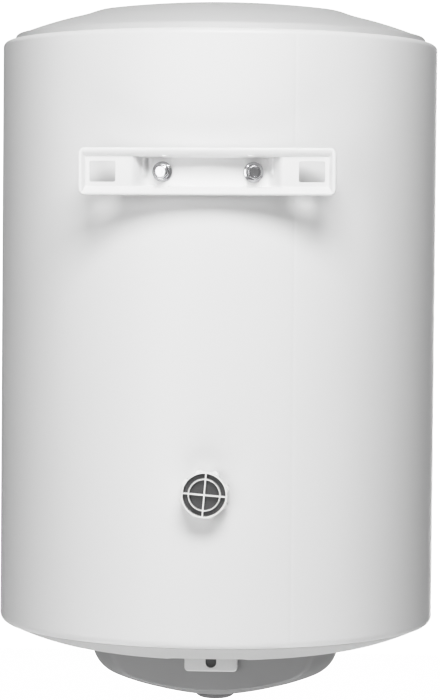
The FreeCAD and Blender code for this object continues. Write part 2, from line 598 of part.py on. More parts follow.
# ---------------------------------------------------------------- wall bracket
def bracket_hollows():
    """The tools that leave a drawn panel of even sheet: rear hollow, tray and trough."""
    inner = ("bracket_half - rim_flat", "bracket_half_height - rim_flat")
    tray = loft("bracket_tray",
                rounded(inner[0] + " - 1", inner[1], "4"),
                rounded(inner[0] + " - 3", inner[1] + " - tray_slope", "2"), "0", "tray_depth")
    tray_back = loft("bracket_tray_back",
                     rounded(inner[0] + " + 1.5", inner[1] + " + 2", "4"),
                     rounded(inner[0] + " - 0.8", inner[1] + " - tray_slope + 2", "3"),
                     "bracket_sheet", "tray_depth + bracket_sheet")
    trough = loft("bracket_trough",
                  rounded("trough_shoulder", "trough_half_height + 1", "2"),
                  rounded("trough_floor_half - 6", "trough_half_height - 2", "2"),
                  "tray_depth - 2 * fit_gap", "trough_reach")
    trough_back = loft("bracket_trough_back",
                       rounded("trough_shoulder + 3", "trough_half_height + 4", "4"),
                       rounded("trough_floor_half - 3", "trough_half_height + 1", "4"),
                       "tray_depth", "trough_reach")
    rear = slab("bracket_rear_hollow", "XZ_Plane",
                rounded("bracket_half - bracket_sheet", "bracket_half_height - bracket_sheet",
                        "bracket_corner - bracket_sheet"),
                "bracket_return", "bracket_sheet")
    floor_limit = rod("bracket_floor_limit", "jacket_radius + trough_floor", *both("bracket_half"), "0",
                      AXIS_Y)
    well = cut("bracket_well", trough, floor_limit)
    return trough_back, (cut("bracket_hollow", rear, tray_back, trough_back), tray, well)


def wall_bracket():
    """Drawn panel: a flanged tray with two hook holes, dipping to the drum between its bolts."""
    outline = rounded("bracket_half", "bracket_half_height", "bracket_corner")
    panel = slab("bracket_panel", "XZ_Plane", outline, "bracket_return")
    trough_back, hollows = bracket_hollows()
    drawn = cut("bracket_drawn", join("bracket_blank", panel, trough_back), *hollows)
    hook_holes = [slab("bracket_hook_hole", "XZ_Plane",
                       rounded("hook_hole_width / 2", "hook_hole_height / 2", "hook_hole_corner",
                               across=f"{side} * hook_spacing / 2"), "wall_gap", "0")
                  for side in (LEFT, RIGHT)]
    bolt_holes = [solid("Cylinder", "bracket_bolt_hole", "0", AXIS_Y, "0", around(angle), Radius="bolt_hole",
                        Height="jacket_radius + wall_gap") for angle in BOLT_ANGLES]
    drum = rod("bracket_drum", "jacket_radius + hole_gap", *both("bracket_half"), "0", AXIS_Y)
    additions = []
    for side, angle in zip((RIGHT, LEFT), BOLT_ANGLES):
        x, y = along(angle + 90, "-pad_width / 2")
        additions.append(solid("Box", "bracket_pad", x, f"{AXIS_Y} + {y}", "-pad_bottom", spun(angle),
                               Length="jacket_radius + pad_rise", Width="pad_width", Height="pad_height"))
        centre = f"{side} * rib_offset"
        additions.append(block("bracket_rib", (centre + " - rib_half", centre + " + rib_half"),
                               ("-rib_far", "-rib_near"), ("-rib_bottom", "rib_top")))
    formed = join("bracket_formed", drawn, *additions)
    node(cut("bracket_pierced", formed, drum, *hook_holes, *bolt_holes), "wall_bracket")


def bracket_bolts():
    """Two hex flange bolts, radial to the drum, through the bracket into the tank's bosses."""
    bolts = []
    seat = "jacket_radius + bolt_seat"
    for angle in BOLT_ANGLES:
        turn = around(angle)
        shank = solid("Cylinder", "bolt_shank", *along(angle, seat + " - bolt_shank + overrun"),
                      rotation=turn, Radius="bolt_shank_radius", Height="bolt_shank")
        washer = solid("Cone", "bolt_washer", *along(angle, seat), rotation=turn,
                       Radius1="bolt_flange_radius", Radius2="bolt_flange_radius - bolt_flange_bevel",
                       Height="bolt_flange")
        hexagon = solid("Prism", "bolt_hexagon", *along(angle, seat), rotation=turn,
                        Circumradius="bolt_corner_radius", Height="bolt_head")
        crown = solid("Cone", "bolt_crown", *along(angle, seat), rotation=turn,
                      Radius1="bolt_corner_radius + bolt_bevel", Radius2="bolt_corner_radius - overrun",
                      Height="bolt_head")
        dimple = solid("Cone", "bolt_dimple", *along(angle, seat + " + bolt_head - overrun"), rotation=turn,
                       Radius1="hole_gap", Radius2="bolt_dimple_radius", Height="overrun + fit_gap / 2")
        bevelled = shared("bolt_bevelled", hexagon, crown)
        bolts.append(cut("bolt", join("bolt_blank", shank, washer, bevelled), dimple))
    node(join("bolt_set", *bolts), "bracket_bolts", AXIS_Y)


def tank_bosses():
    """Tapped bosses welded to the tank, which carry the bracket."""
    bosses = []
    for angle in BOLT_ANGLES:
        turn = around(angle)
        post = solid("Cylinder", "boss_post", *along(angle, "tank_radius - boss_reach"), rotation=turn,
                     Radius="boss_radius", Height="jacket_radius - tank_radius + boss_reach")
        bore = solid("Cylinder", "boss_bore", *along(angle, "jacket_radius - boss_bore_depth"), rotation=turn,
                     Radius="bolt_shank_radius + fit_gap", Height="boss_bore_depth + overrun")
        tank_side = rod("boss_tank", "tank_radius + fit_gap / 2", *both("2 * boss_radius"))
        bosses.append(cut("boss", post, bore, tank_side))
    node(join("boss_set", *bosses), "tank_bosses", AXIS_Y)


# ---------------------------------------------------------------- lower spacer
def pin_disc(name, radius, near, far):
    """A disc about the spacer's axis between two depths in front of the wall plane."""
    return solid("Cylinder", name, "0", f"-({far})", "0", TOWARDS_WALL, Radius=radius,
                 Height=f"({far}) - ({near})")


def flatted(name, gap, near, far):
    """The spacer's stem section, a round with two flats, between two depths."""
    return shared(name, pin_disc(name + "_round", f"stem_radius + {gap}", near, far),
                  block(name + "_flats", both("stem_end"), (f"-({far})", f"-({near})"),
                        both(f"stem_flat + {gap}")))


def spacer_foot():
    """Wheel-like foot with a ring, a cross and a keyed stem, and rubber pads in its hollows."""
    floor = "foot_thickness - web"
    through = ("-overrun", "foot_thickness + overrun")
    rim = cut("foot_rim", pin_disc("foot_rim_outer", "foot_radius", "0", "foot_thickness"),
              pin_disc("foot_rim_inner", "foot_radius - web", "-overrun", floor))
    ring = cut("foot_ring_wall", pin_disc("foot_ring_outer", "foot_ring", "0", "foot_thickness"),
               pin_disc("foot_ring_inner", "foot_ring - web", *through))
    reach, depth = both("foot_radius - web / 2"), ("-foot_thickness", "0")
    cross = join("foot_cross", block("foot_wall_across", reach, depth, both("web / 2")),
                 block("foot_wall_up", both("web / 2"), depth, reach))
    put(cross, rotation=Rotation(Vector(0, 1, 0), CROSS_TURN))
    stem = flatted("foot_stem", "0", floor + " + overrun", "stem_end")
    node(join("foot_joined", rim, ring, cross, stem), "spacer_foot", "0", SPACER_Z)

    pad = pin_disc("foot_pad_disc", "foot_radius - web - fit_gap", floor + " - pad_thickness",
                   floor + " - fit_gap / 2")
    ring_space = cut("foot_pad_ring", pin_disc("foot_pad_ring_outer", "foot_ring + fit_gap", *through),
                     pin_disc("foot_pad_ring_inner", "foot_ring - web - fit_gap", *through))
    node(cut("foot_pad_cut", pad, ring_space, cross), "foot_pad", "0", SPACER_Z)


def spacer_wheel():
    """Lobed nut that screws the foot in and out."""
    lobes = []
    for i in range(LOBES):
        across, up = along(FIRST_LOBE + 360 / LOBES * i, "lobe_reach")
        lobe = pin_disc("wheel_lobe", "lobe_radius", "wheel_near", "wheel_far")
        lobes.append(put(lobe, across, "-wheel_far", up, TOWARDS_WALL))
    wheel = join("wheel_blank", pin_disc("wheel_disc", "wheel_radius", "wheel_near", "wheel_far"),
                 pin_disc("wheel_hub", "hub_radius", "wheel_far - overrun", "hub_end"), *lobes)
    bore = pin_disc("wheel_bore", "stem_radius + running_gap", "0", "hub_end + overrun")
    node(cut("wheel_bored", wheel, bore), "spacer_wheel", "0", SPACER_Z)


def spacer_socket():
    """Flanged socket in the jacket, keyed to the foot's stem."""
    sleeve = "hub_radius + socket_wall"
    past = ("0", "stem_end")
    blank = join("socket_blank", pin_disc("socket_disc", "socket_flange", "socket_near", "socket_step"),
                 pin_disc("socket_sleeve", sleeve, "socket_near + overrun", "socket_end"))
    seat = cut("socket_seat", pin_disc("socket_seat_disc", "socket_flange + overrun", *past),
               pin_disc("socket_seat_core", sleeve, *past))
    drum = rod("socket_drum", "jacket_radius + fit_gap / 2", *both("stem_end"), "0", AXIS_Y)
    trimmed = cut("socket_trimmed", blank, shared("socket_drum_side", seat, drum))
    node(cut("socket_bored", trimmed,
             pin_disc("socket_hub_bore", "hub_radius + running_gap", "0", "socket_bore_end"),
             flatted("socket_key", "running_gap", "socket_near", "stem_end")), "spacer_socket", "0", SPACER_Z)


# ---------------------------------------------------------------- inner tank
CROWN_FALL = "(head_depth - head_crown_level)"
HEAD_CROWN = f"(head_crown_edge ^ 2 + {CROWN_FALL} ^ 2) / (2 * {CROWN_FALL})"


def tank_head(name):
    """A dished head standing on its joint: a spherical crown and a tighter knuckle."""
    inner_edge = f"head_crown_edge * (1 - tank_wall / ({HEAD_CROWN}))"
    inner_level = f"head_depth - tank_wall - {CROWN_FALL} * (1 - tank_wall / ({HEAD_CROWN}))"
    return lathe(name, [
        ("tank_radius", "0", "head_knuckle"),
        ("head_crown_edge", "head_crown_level", HEAD_CROWN),
        ("0", "head_depth"),
        ("0", "head_depth - tank_wall", f"-({HEAD_CROWN} - tank_wall)"),
        (inner_edge, inner_level, "-(head_knuckle - tank_wall)"),
        ("tank_radius - tank_wall", "0"),
    ])


def head_space(name):
    """The space that a tank head takes in the foam."""
    return lathe(name, [
        ("0", "-overrun"),
        ("tank_radius + hole_gap", "-overrun"),
        ("tank_radius + hole_gap", "0", "head_knuckle + seam"),
        ("head_crown_edge", "head_crown_level + hole_gap", HEAD_CROWN),
        ("0", "head_depth + hole_gap"),
    ])


def tank():
    """Enamelled steel tank: a rolled shell between two dished heads."""
    shell = cut("tank_shell_cut", rod("tank_shell_outer", "tank_radius", "-tank_base", "tank_top"),
                rod("tank_shell_inner", "tank_radius - tank_wall", "-tank_base - overrun",
                    "tank_top + overrun"))
    node(shell, "tank_shell", AXIS_Y)
    node(tank_head("top_head_turned"), "tank_top_head", AXIS_Y, "tank_top")
    base = put(tank_head("base_head_turned"), "0", "0", "-tank_base", UPSIDE_DOWN)
    holes = [rod("head_pipe_hole", "pipe_radius + 2 * fit_gap", BELOW, "-tank_base",
                 f"{side} * {PIPE_X}", PIPE_Y) for side in (LEFT, RIGHT)]
    neck_hole = rod("head_neck_hole", "neck_radius + 2 * fit_gap", BELOW, "-tank_base")
    node(cut("base_head_cut", base, neck_hole, *holes), "tank_bottom_head", AXIS_Y)


def water_pipe(name, side, top):
    """A pipe stub with a G 1/2 nipple on its end, and its coloured collar in the cap."""
    place = (f"{side} * {PIPE_X}", PIPE_Y)
    outside = join(name + "_outside", rod(name + "_outer", "pipe_radius", "-pipe_end + overrun", top, *place),
                   rod(name + "_nipple", "nipple_radius", "-pipe_end", "-pipe_end + nipple_length", *place))
    bore = rod(name + "_bore", "pipe_bore", BELOW, top + " + overrun", *place)
    node(cut(name + "_tube", outside, bore), name + "_pipe", AXIS_Y)
    collar = join(name + "_ring",
                  rod(name + "_disc", "collar_radius", "-collar_bottom", "-collar_top", *place),
                  rod(name + "_spigot", "spigot_radius", "-collar_top - fit_gap", "-spigot_top", *place))
    ring_bore = rod(name + "_ring_bore", "pipe_radius + 2 * fit_gap", BELOW, ABOVE, *place)
    node(cut(name + "_ring_bored", collar, ring_bore), name + "_collar", AXIS_Y)


def water_pipes():
    """Cold inlet with its diffuser, and hot outlet with its standpipe to the top of the tank."""
    water_pipe("cold_inlet", RIGHT, "-inlet_top")
    water_pipe("hot_outlet", LEFT, "-outlet_top")
    hot = (f"{LEFT} * {PIPE_X}", PIPE_Y)
    standpipe = cut("standpipe_tube",
                    rod("standpipe_outer", "pipe_bore - fit_gap", "-standpipe_bottom",
                        "standpipe_level", *hot),
                    rod("standpipe_bore", "pipe_bore - standpipe_wall", "-standpipe_bottom - overrun",
                        "standpipe_level + overrun", *hot))
    node(standpipe, "outlet_standpipe", AXIS_Y)
    cold = (PIPE_X, PIPE_Y)
    windows = []
    long_way = "diffuser_radius + overrun"
    for across, away in ((long_way, "window_half"), ("window_half", long_way)):
        windows.append(block("diffuser_window", (f"{cold[0]} - ({across})", f"{cold[0]} + {across}"),
                             (f"{cold[1]} - ({away})", f"{cold[1]} + {away}"),
                             ("-window_bottom", "-window_top")))
    cup = rod("diffuser_cup", "diffuser_radius", "-diffuser_bottom", "-diffuser_top", *cold)
    bore = rod("diffuser_bore", "pipe_radius + fit_gap", BELOW, "-diffuser_top - diffuser_wall", *cold)
    node(cut("diffuser_cut", cup, bore, *windows), "inlet_diffuser", AXIS_Y)


def stud_bores(name, gap):
    """Holes for the flange's six studs."""
    return [rod(name + "_stud_hole", f"stud_radius + {gap}", BELOW, ABOVE, *along(angle, "stud_circle"))
            for angle in STUD_ANGLES]


def bottom_flange():
    """Neck and ring welded to the tank, with the bolted plate that carries the electrical parts."""
    neck = join("neck_blank", rod("neck_tube", "neck_radius", FLANGE_TOP + " - overrun", "-neck_top"),
                rod("neck_ring", "flange_radius", "-flange_drop", FLANGE_TOP))
    neck_bore = rod("neck_bore", "neck_radius - neck_wall", BELOW, ABOVE)
    node(cut("neck_bored", neck, neck_bore, *stud_bores("neck", "fit_gap / 2")), "flange_neck", AXIS_Y)
    gasket = rod("gasket_disc", "flange_radius - overrun", PLATE_TOP, "-flange_drop")
    gasket_hole = rod("gasket_hole", "neck_radius - neck_wall", BELOW, ABOVE)
    node(cut("gasket_cut", gasket, gasket_hole, *stud_bores("gasket", "hole_gap")), "flange_gasket", AXIS_Y)
    openings = [rod("plate_element_hole", "element_tube + fit_gap", BELOW, ABOVE, f"{side} * element_half",
                    "element_setback") for side in (LEFT, RIGHT)]
    openings += [rod("plate_pocket_hole", "pocket_radius + fit_gap", BELOW, ABOVE),
                 rod("plate_anode_hole", "anode_stud_radius + 2 * fit_gap", BELOW, ABOVE, "0",
                     "-anode_setback")]
    plate = rod("plate_disc", "flange_radius", PLATE_BASE, PLATE_TOP)
    node(cut("plate_cut", plate, *openings, *stud_bores("plate", "hole_gap")), "flange_plate", AXIS_Y)
    studs, nuts = [], []
    for angle in STUD_ANGLES:
        x, y = along(angle, "stud_circle")
        studs.append(rod("flange_stud", "stud_radius", PLATE_BASE + " - stud_length", FLANGE_TOP, x, y))
        hexagon = solid("Prism", "flange_nut_hexagon", x, y, PLATE_BASE + " - nut_height - fit_gap",
                        Circumradius="nut_radius", Height="nut_height")
        nut_bore = rod("flange_nut_bore", "stud_radius + fit_gap", BELOW, ABOVE, x, y)
        nuts.append(cut("flange_nut", hexagon, nut_bore))
    node(join("flange_stud_set", *studs), "flange_studs", AXIS_Y)
    node(join("flange_nut_set", *nuts), "flange_nuts", AXIS_Y)


def heating_element():
    """Bent copper tube through the flange plate, with a spade terminal on each end."""
    legs, spades = [], []
    for side in (LEFT, RIGHT):
        x = f"{side} * element_half"
        legs.append(rod("element_leg", "element_tube", "-element_end", "-element_top", x, "element_setback"))
        pin = rod("element_pin", "pin_radius", "-blade_top - overrun", "-element_end", x, "element_setback")
        blade = block("element_blade", (x + " - blade_half_width", x + " + blade_half_width"),
                      ("element_setback - blade_half", "element_setback + blade_half"),
                      ("-blade_bottom", "-blade_top"))
        spades.append(join("element_spade", pin, blade))
    bend = solid("Torus", "element_bend", "0", "element_setback", "-element_top",
                 Rotation(Vector(1, 0, 0), 90), Radius1="element_half", Radius2="element_tube")
    bend.Angle3 = 180
    node(join("element_joined", bend, *legs), "heating_element", AXIS_Y)
    node(join("element_spades", *spades), "element_terminals", AXIS_Y)


def wet_parts():
    """What else the flange plate carries into the water: thermostat pocket and anode."""
    pocket_bore = rod("pocket_bore_hole", "pocket_bore", BELOW, "-pocket_top - overrun")
    node(cut("pocket_cut", rod("pocket_tube", "pocket_radius", PLATE_BASE, "-pocket_top"), pocket_bore),
         "thermostat_pocket", AXIS_Y)
    place = ("0", "-anode_setback")
    node(join("anode_joined", rod("anode_bar", "anode_radius", "-anode_bottom", "-anode_top", *place),
              rod("anode_stud", "anode_stud_radius", "-anode_stud_end", "-anode_bottom + overrun", *place)),
         "anode_rod", AXIS_Y)
    hexagon = solid("Prism", "anode_nut_hexagon", *place, PLATE_BASE + " - anode_nut_height - fit_gap",
                    Circumradius="anode_nut_radius", Height="anode_nut_height")
    nut_bore = rod("anode_nut_bore", "anode_stud_radius + fit_gap", BELOW, ABOVE, *place)
    node(cut("anode_nut_cut", hexagon, nut_bore), "anode_nut", AXIS_Y)


def insulation():
    """Polyurethane foam that fills the casing round the tank."""
    wall = "jacket_radius - jacket_skin - hole_gap"
    ceiling = "rim_level + dome_rise - lid_wall - overrun"
    fill = lathe("foam_fill", [
        ("foam_neck_radius", "-foam_neck_drop"),
        ("foam_ring_radius", "-foam_ring_drop"),
        ("foam_edge_radius", "-foam_edge_drop"),
        ("foam_roll_radius", "-foam_roll_drop"),
        (wall, "-foam_wall_drop"),
        (wall, "rim_level - foam_skirt"),
        ("foam_lip_radius", "rim_level - foam_skirt"),
        ("foam_lip_radius", "rim_level - foam_lip_drop"),
        ("foam_lid_radius", "rim_level + foam_lid_rise"),
        ("dome_edge", ceiling),
        ("0", ceiling),
        ("0", "0"),
        ("foam_neck_radius", "-foam_core_drop"),
    ])
    tank_space = join("foam_tank_space",
                      rod("foam_shell_space", "tank_radius + hole_gap", "-tank_base", "tank_top"),
                      put(head_space("foam_top_space"), "0", "0", "tank_top"),
                      put(head_space("foam_base_space"), "0", "0", "-tank_base", UPSIDE_DOWN))
    pipe_spaces = [rod("foam_pipe_space", "pipe_hole + 2 * fit_gap", BELOW, "-tank_base",
                       f"{side} * {PIPE_X}", PIPE_Y) for side in (LEFT, RIGHT)]
    tools = [tank_space, spacer_space("foam_spacer_space"), *pipe_spaces, *boss_spaces("foam_boss_space")]
    node(cut("foam_cut", fill, *tools), "insulation_foam", AXIS_Y)


# ---------------------------------------------------------------- build, check and write
for make in (outer_jacket, top_lid, bottom_cap, service_cover, cover_screws, cable_entry_plate, cable_clamp,
             thermostat, indicator, wall_bracket, bracket_bolts, tank_bosses, spacer_foot, spacer_wheel,
             spacer_socket, tank, water_pipes, bottom_flange, heating_element, wet_parts, insulation):
    make()
doc.recompute()
failed = [obj.Label for obj in doc.Objects if {"Invalid", "Error"} & set(obj.State)]
if failed:
    raise RuntimeError(f"failed: {failed}")
for obj in NODES:
    if obj.Shape.isNull() or not obj.Shape.isValid() or not obj.Shape.Solids:
        raise RuntimeError(f"{obj.Label} has no valid solid")
    obj.Shape.exportStep(f"parts/{obj.Label}.step")
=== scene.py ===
"""Looks of a wall-hung storage water heater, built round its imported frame.

Everything is in metres in the frame of the CAD part: +Z up, +Y towards the wall, the origin on
the wall plane between the bracket's two hook holes. Lengths are written in millimetres times MM.
"""
import json
import math

import bmesh
import bpy
from mathutils import Matrix, Vector


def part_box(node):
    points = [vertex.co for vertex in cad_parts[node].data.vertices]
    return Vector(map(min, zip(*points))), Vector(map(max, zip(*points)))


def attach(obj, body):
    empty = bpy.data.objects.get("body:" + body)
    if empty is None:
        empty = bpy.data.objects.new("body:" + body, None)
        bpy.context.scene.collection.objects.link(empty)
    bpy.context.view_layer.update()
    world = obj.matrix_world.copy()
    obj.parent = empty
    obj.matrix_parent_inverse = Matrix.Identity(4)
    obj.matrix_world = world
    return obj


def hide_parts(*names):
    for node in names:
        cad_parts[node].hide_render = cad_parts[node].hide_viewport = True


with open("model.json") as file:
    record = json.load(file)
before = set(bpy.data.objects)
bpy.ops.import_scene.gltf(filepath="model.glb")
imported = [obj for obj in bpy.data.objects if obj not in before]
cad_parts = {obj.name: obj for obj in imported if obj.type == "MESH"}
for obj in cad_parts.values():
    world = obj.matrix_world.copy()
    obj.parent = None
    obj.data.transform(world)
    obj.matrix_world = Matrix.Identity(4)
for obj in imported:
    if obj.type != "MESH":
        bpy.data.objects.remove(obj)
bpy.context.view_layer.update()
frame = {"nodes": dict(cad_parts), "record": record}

MM = 0.001
TURN = 2 * math.pi

# ---------------------------------------------------------------- places read from the frame
jacket_low, jacket_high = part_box("outer_jacket")
lid_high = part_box("top_lid")[1]
cover_low, cover_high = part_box("service_cover")
entry_low, entry_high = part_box("cable_entry_plate")
bracket_low, bracket_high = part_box("wall_bracket")
foot_low, foot_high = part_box("spacer_foot")
knob_low, knob_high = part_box("thermostat_knob")

AXIS = (jacket_low + jacket_high) / 2          # a point on the drum's axis
DRUM_RADIUS = (jacket_high.x - jacket_low.x) / 2
RIM = jacket_high.z                            # top edge of the jacket
BASE = jacket_low.z                            # bottom edge of the jacket
SPACER = Vector((0, 0, (foot_low.z + foot_high.z) / 2))


# ---------------------------------------------------------------- mesh helpers
def ramp(value, start, end):
    """Smooth step from 0 at start to 1 at end; start may be the larger one."""
    t = min(max((value - start) / (end - start), 0), 1)
    return t * t * (3 - 2 * t)


def soft_min(a, b, blend):
    """The smaller of two values, rounded where they cross."""
    share = max(blend - abs(a - b), 0) / blend
    return min(a, b) - share * share * blend / 4


def soft_max(a, b, blend):
    """The larger of two values, rounded where they cross."""
    return -soft_min(-a, -b, blend)


def lerp(a, b, share):
    return a + (b - a) * share


def arc(start, end, radius, steps):
    """Points after start up to end on an arc; a positive radius turns anticlockwise."""
    start, end = Vector(start), Vector(end)
    chord = end - start
    rise = math.sqrt(max(radius ** 2 - (chord.length / 2) ** 2, 0)) * math.copysign(1, radius)
    centre = (start + end) / 2 + Vector((-chord.y, chord.x)) / chord.length * rise
    first = math.atan2(start.y - centre.y, start.x - centre.x)
    last = math.atan2(end.y - centre.y, end.x - centre.x)
    sweep = (last - first) % TURN if radius > 0 else -((first - last) % TURN)
    angles = [first + sweep * (i + 1) / steps for i in range(steps)]
    return [(centre.x + abs(radius) * math.cos(a), centre.y + abs(radius) * math.sin(a)) for a in angles]


def filleted(corners, steps=6):
    """Closed outline from corners (a, b[, fillet radius]), with each fillet as an arc."""
    points = []
    count = len(corners)
    for i, corner in enumerate(corners):
        here = Vector(corner[:2])
        if len(corner) == 2:
            points.append(tuple(here))
            continue
        back = (Vector(corners[i - 1][:2]) - here).normalized()
        ahead = (Vector(corners[(i + 1) % count][:2]) - here).normalized()
        half = back.angle(ahead) / 2
        reach = corner[2] / math.tan(half)
        centre = here + (back + ahead).normalized() * (corner[2] / math.sin(half))
        first, last = here + back * reach - centre, here + ahead * reach - centre
        for k in range(steps + 1):
            points.append(tuple(centre + first.slerp(last, k / steps).normalized() * corner[2]))
    return points


def to_object(name, bm, sharp=35):
    """Object from a bmesh: doubled points merged, faces turned outwards, smooth but for sharp edges."""
    bmesh.ops.remove_doubles(bm, verts=bm.verts, dist=1e-6)
    bmesh.ops.recalc_face_normals(bm, faces=bm.faces)
    mesh = bpy.data.meshes.new(name)
    bm.to_mesh(mesh)
    bm.free()
    mesh.shade_smooth()
    mesh.set_sharp_from_angle(angle=math.radians(sharp))
    piece = bpy.data.objects.new(name, mesh)
    bpy.context.scene.collection.objects.link(piece)
    return piece


def skin_rows(bm, rows, close_across=True, close_along=False):
    """Quads between rows of points; a row may wrap round, and the last row may meet the first."""
    grid = [[bm.verts.new(p) for p in row] for row in rows]
    pairs = list(zip(grid, grid[1:])) + ([(grid[-1], grid[0])] if close_along else [])
    for lower, upper in pairs:
        for i in range(len(lower) if close_across else len(lower) - 1):
            j = (i + 1) % len(lower)
            corners = [lower[i], lower[j], upper[j], upper[i]]
            if (lower[i].co - lower[j].co).length < 1e-9:
                corners = [lower[i], upper[j], upper[i]]
            elif (upper[i].co - upper[j].co).length < 1e-9:
                corners = [lower[i], lower[j], upper[i]]
            bm.faces.new(corners)
    return grid


def turned_rows(outline, centre, segments, turn):
    """Rows of points for an outline of (radius, height) swept about Z, then turned and moved."""
    angles = [TURN * k / segments for k in range(segments)]
    return [[centre + turn @ Vector((r * math.cos(a), r * math.sin(a), h)) for a in angles]
            for r, h in outline]


def lathe(name, outline, centre, segments, turn, closed=True):
    """A turned piece. The outline is closed, or open from axis to axis."""
    bm = bmesh.new()
    skin_rows(bm, turned_rows(outline, centre, segments, turn), close_along=closed)
    return to_object(name, bm)


def thicken(piece, thickness, sharp=35):
    """Give a skin an even thickness on its inner side."""
    shell = piece.modifiers.new("shell", "SOLIDIFY")
    shell.thickness, shell.offset = thickness, -1
    shell.use_even_offset = False
    return applied(piece, sharp)


def applied(piece, sharp=35):
    """Replace the piece's mesh by the mesh that its modifiers make."""
    evaluated = piece.evaluated_get(bpy.context.evaluated_depsgraph_get())
    mesh = bpy.data.meshes.new_from_object(evaluated)
    piece.modifiers.clear()
    piece.data = mesh
    mesh.shade_smooth()
    mesh.set_sharp_from_angle(angle=math.radians(sharp))
    return piece


def carve(piece, tool, sharp=35):
    """Cut a tool, which is used up, out of the piece."""
    change = piece.modifiers.new("carve", "BOOLEAN")
    change.object, change.operation, change.solver = tool, "DIFFERENCE", "EXACT"
    bpy.context.view_layer.update()
    applied(piece, sharp)
    bpy.data.objects.remove(tool)
    return piece


def prism(name, outline, low, high, place, bevel=0.0, bevel_steps=3):
    """A flat outline of (across, up) raised from low to high, with its two rims rounded.

    place turns (across, up, height) into a point.
    """
    bm = bmesh.new()
    bottom = [bm.verts.new(place(a, b, low)) for a, b in outline]
    top = [bm.verts.new(place(a, b, high)) for a, b in outline]
    bm.faces.new(bottom[::-1])
    bm.faces.new(top)
    count = len(outline)
    for i in range(count):
        bm.faces.new([bottom[i], bottom[(i + 1) % count], top[(i + 1) % count], top[i]])
    bmesh.ops.recalc_face_normals(bm, faces=bm.faces)
    if bevel:
        rims = [e for e in bm.edges if any(len(f.verts) == count for f in e.link_faces)]
        bmesh.ops.bevel(bm, geom=rims, offset=bevel, segments=bevel_steps, profile=0.5, affect="EDGES",
                        clamp_overlap=True)
    return to_object(name, bm)


def rounded_box(half_across, half_up, radius, steps=6):
    """Outline of a rectangle with rounded corners, about the origin."""
    return filleted([(-half_across, -half_up, radius), (half_across, -half_up, radius),
                     (half_across, half_up, radius), (-half_across, half_up, radius)], steps)


def joined(name, pieces):
    """One object from several, each kept as a separate closed shell."""
    bm = bmesh.new()
    for piece in pieces:
        bm.from_mesh(piece.data)
        bpy.data.objects.remove(piece)
    mesh = bpy.data.meshes.new(name)
    bm.to_mesh(mesh)
    bm.free()
    whole = bpy.data.objects.new(name, mesh)
    bpy.context.scene.collection.objects.link(whole)
    return whole


def place_piece(piece, body, material, slot, *nodes):
    """Material and body of a piece, and the CAD nodes that it stands for; slot is not used."""
    piece.data.materials.clear()
    piece.data.materials.append(material)
    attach(piece, body)
    if nodes:
        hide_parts(*nodes)
    return piece


# ---------------------------------------------------------------- materials
def node_tree(name):
    """New material, with its nodes, links and main shader."""
    material = bpy.data.materials.new(name)
    material.use_nodes = True
    nodes, links = material.node_tree.nodes, material.node_tree.links
    return material, nodes, links, nodes["Principled BSDF"]


def noise(nodes, links, source, scale, detail=4.0, roughness=0.5):
    """Noise read at source, with its scale per metre."""
    texture = nodes.new("ShaderNodeTexNoise")
    texture.inputs["Scale"].default_value = scale
    texture.inputs["Detail"].default_value = detail
    texture.inputs["Roughness"].default_value = roughness
    links.new(source, texture.inputs["Vector"])
    return texture.outputs["Fac"]


def ranged(nodes, links, source, low, high):
    """The middle of a noise spread from low to high."""
    spread = nodes.new("ShaderNodeMapRange")
    spread.inputs["From Min"].default_value, spread.inputs["From Max"].default_value = 0.3, 0.7
    spread.inputs["To Min"].default_value, spread.inputs["To Max"].default_value = low, high
    links.new(source, spread.inputs["Value"])
    return spread.outputs["Result"]


def tinted(nodes, links, factor, dark, light):
    """Colour that runs from dark to light with a factor."""
    blend = nodes.new("ShaderNodeMix")
    blend.data_type = "RGBA"
    blend.inputs["A"].default_value = (*dark, 1)
    blend.inputs["B"].default_value = (*light, 1)
    links.new(factor, blend.inputs["Factor"])
    return blend.outputs["Result"]


def surface(name, color, roughness, metallic=0.0, mottle=0.03, cloud=9.0, grain=900.0, bump=0.06,
            depth=0.05 * MM, stretch=(1, 1, 1), speck=0.0):
    """Cloudy colour, uneven gloss and a fine moulded, sprayed or brushed grain.

    cloud and grain are noise scales per metre; stretch squeezes the grain into brush lines.
    """
    material, nodes, links, shader = node_tree(name)
    where = nodes.new("ShaderNodeTexCoord").outputs["Object"]
    clouds = noise(nodes, links, where, cloud)
    squeeze = nodes.new("ShaderNodeMapping")
    squeeze.inputs["Scale"].default_value = stretch
    links.new(where, squeeze.inputs["Vector"])
    fine = noise(nodes, links, squeeze.outputs["Vector"], grain, 3.0, 0.6)
    dark = [c * (1 - mottle) for c in color]
    light = [min(c * (1 + mottle), 1) for c in color]
    tone = tinted(nodes, links, ranged(nodes, links, clouds, 0, 1), dark, light)
    if speck:
        dust = nodes.new("ShaderNodeMix")
        dust.data_type, dust.blend_type = "RGBA", "MULTIPLY"
        dust.inputs["Factor"].default_value = speck
        links.new(tone, dust.inputs["A"])
        links.new(ranged(nodes, links, fine, 0.5, 1), dust.inputs["B"])
        tone = dust.outputs["Result"]
    links.new(tone, shader.inputs["Base Color"])
    gloss = ranged(nodes, links, clouds, roughness * 0.88, min(roughness * 1.12, 1))
    links.new(gloss, shader.inputs["Roughness"])
    shader.inputs["Metallic"].default_value = metallic
    height = nodes.new("ShaderNodeBump")
    height.inputs["Strength"].default_value = bump
    height.inputs["Distance"].default_value = depth
    links.new(fine, height.inputs["Height"])
    links.new(height.outputs["Normal"], shader.inputs["Normal"])
    return material


def see_through(name, color, roughness, transmission):
    """Clear or tinted lens and lamp glass, with a faint flow in its colour."""
    material = surface(name, color, roughness, mottle=0.08, cloud=60.0, bump=0.02)
    shader = material.node_tree.nodes["Principled BSDF"]
    shader.inputs["Transmission Weight"].default_value = transmission
    shader.inputs["IOR"].default_value = 1.49
    return material


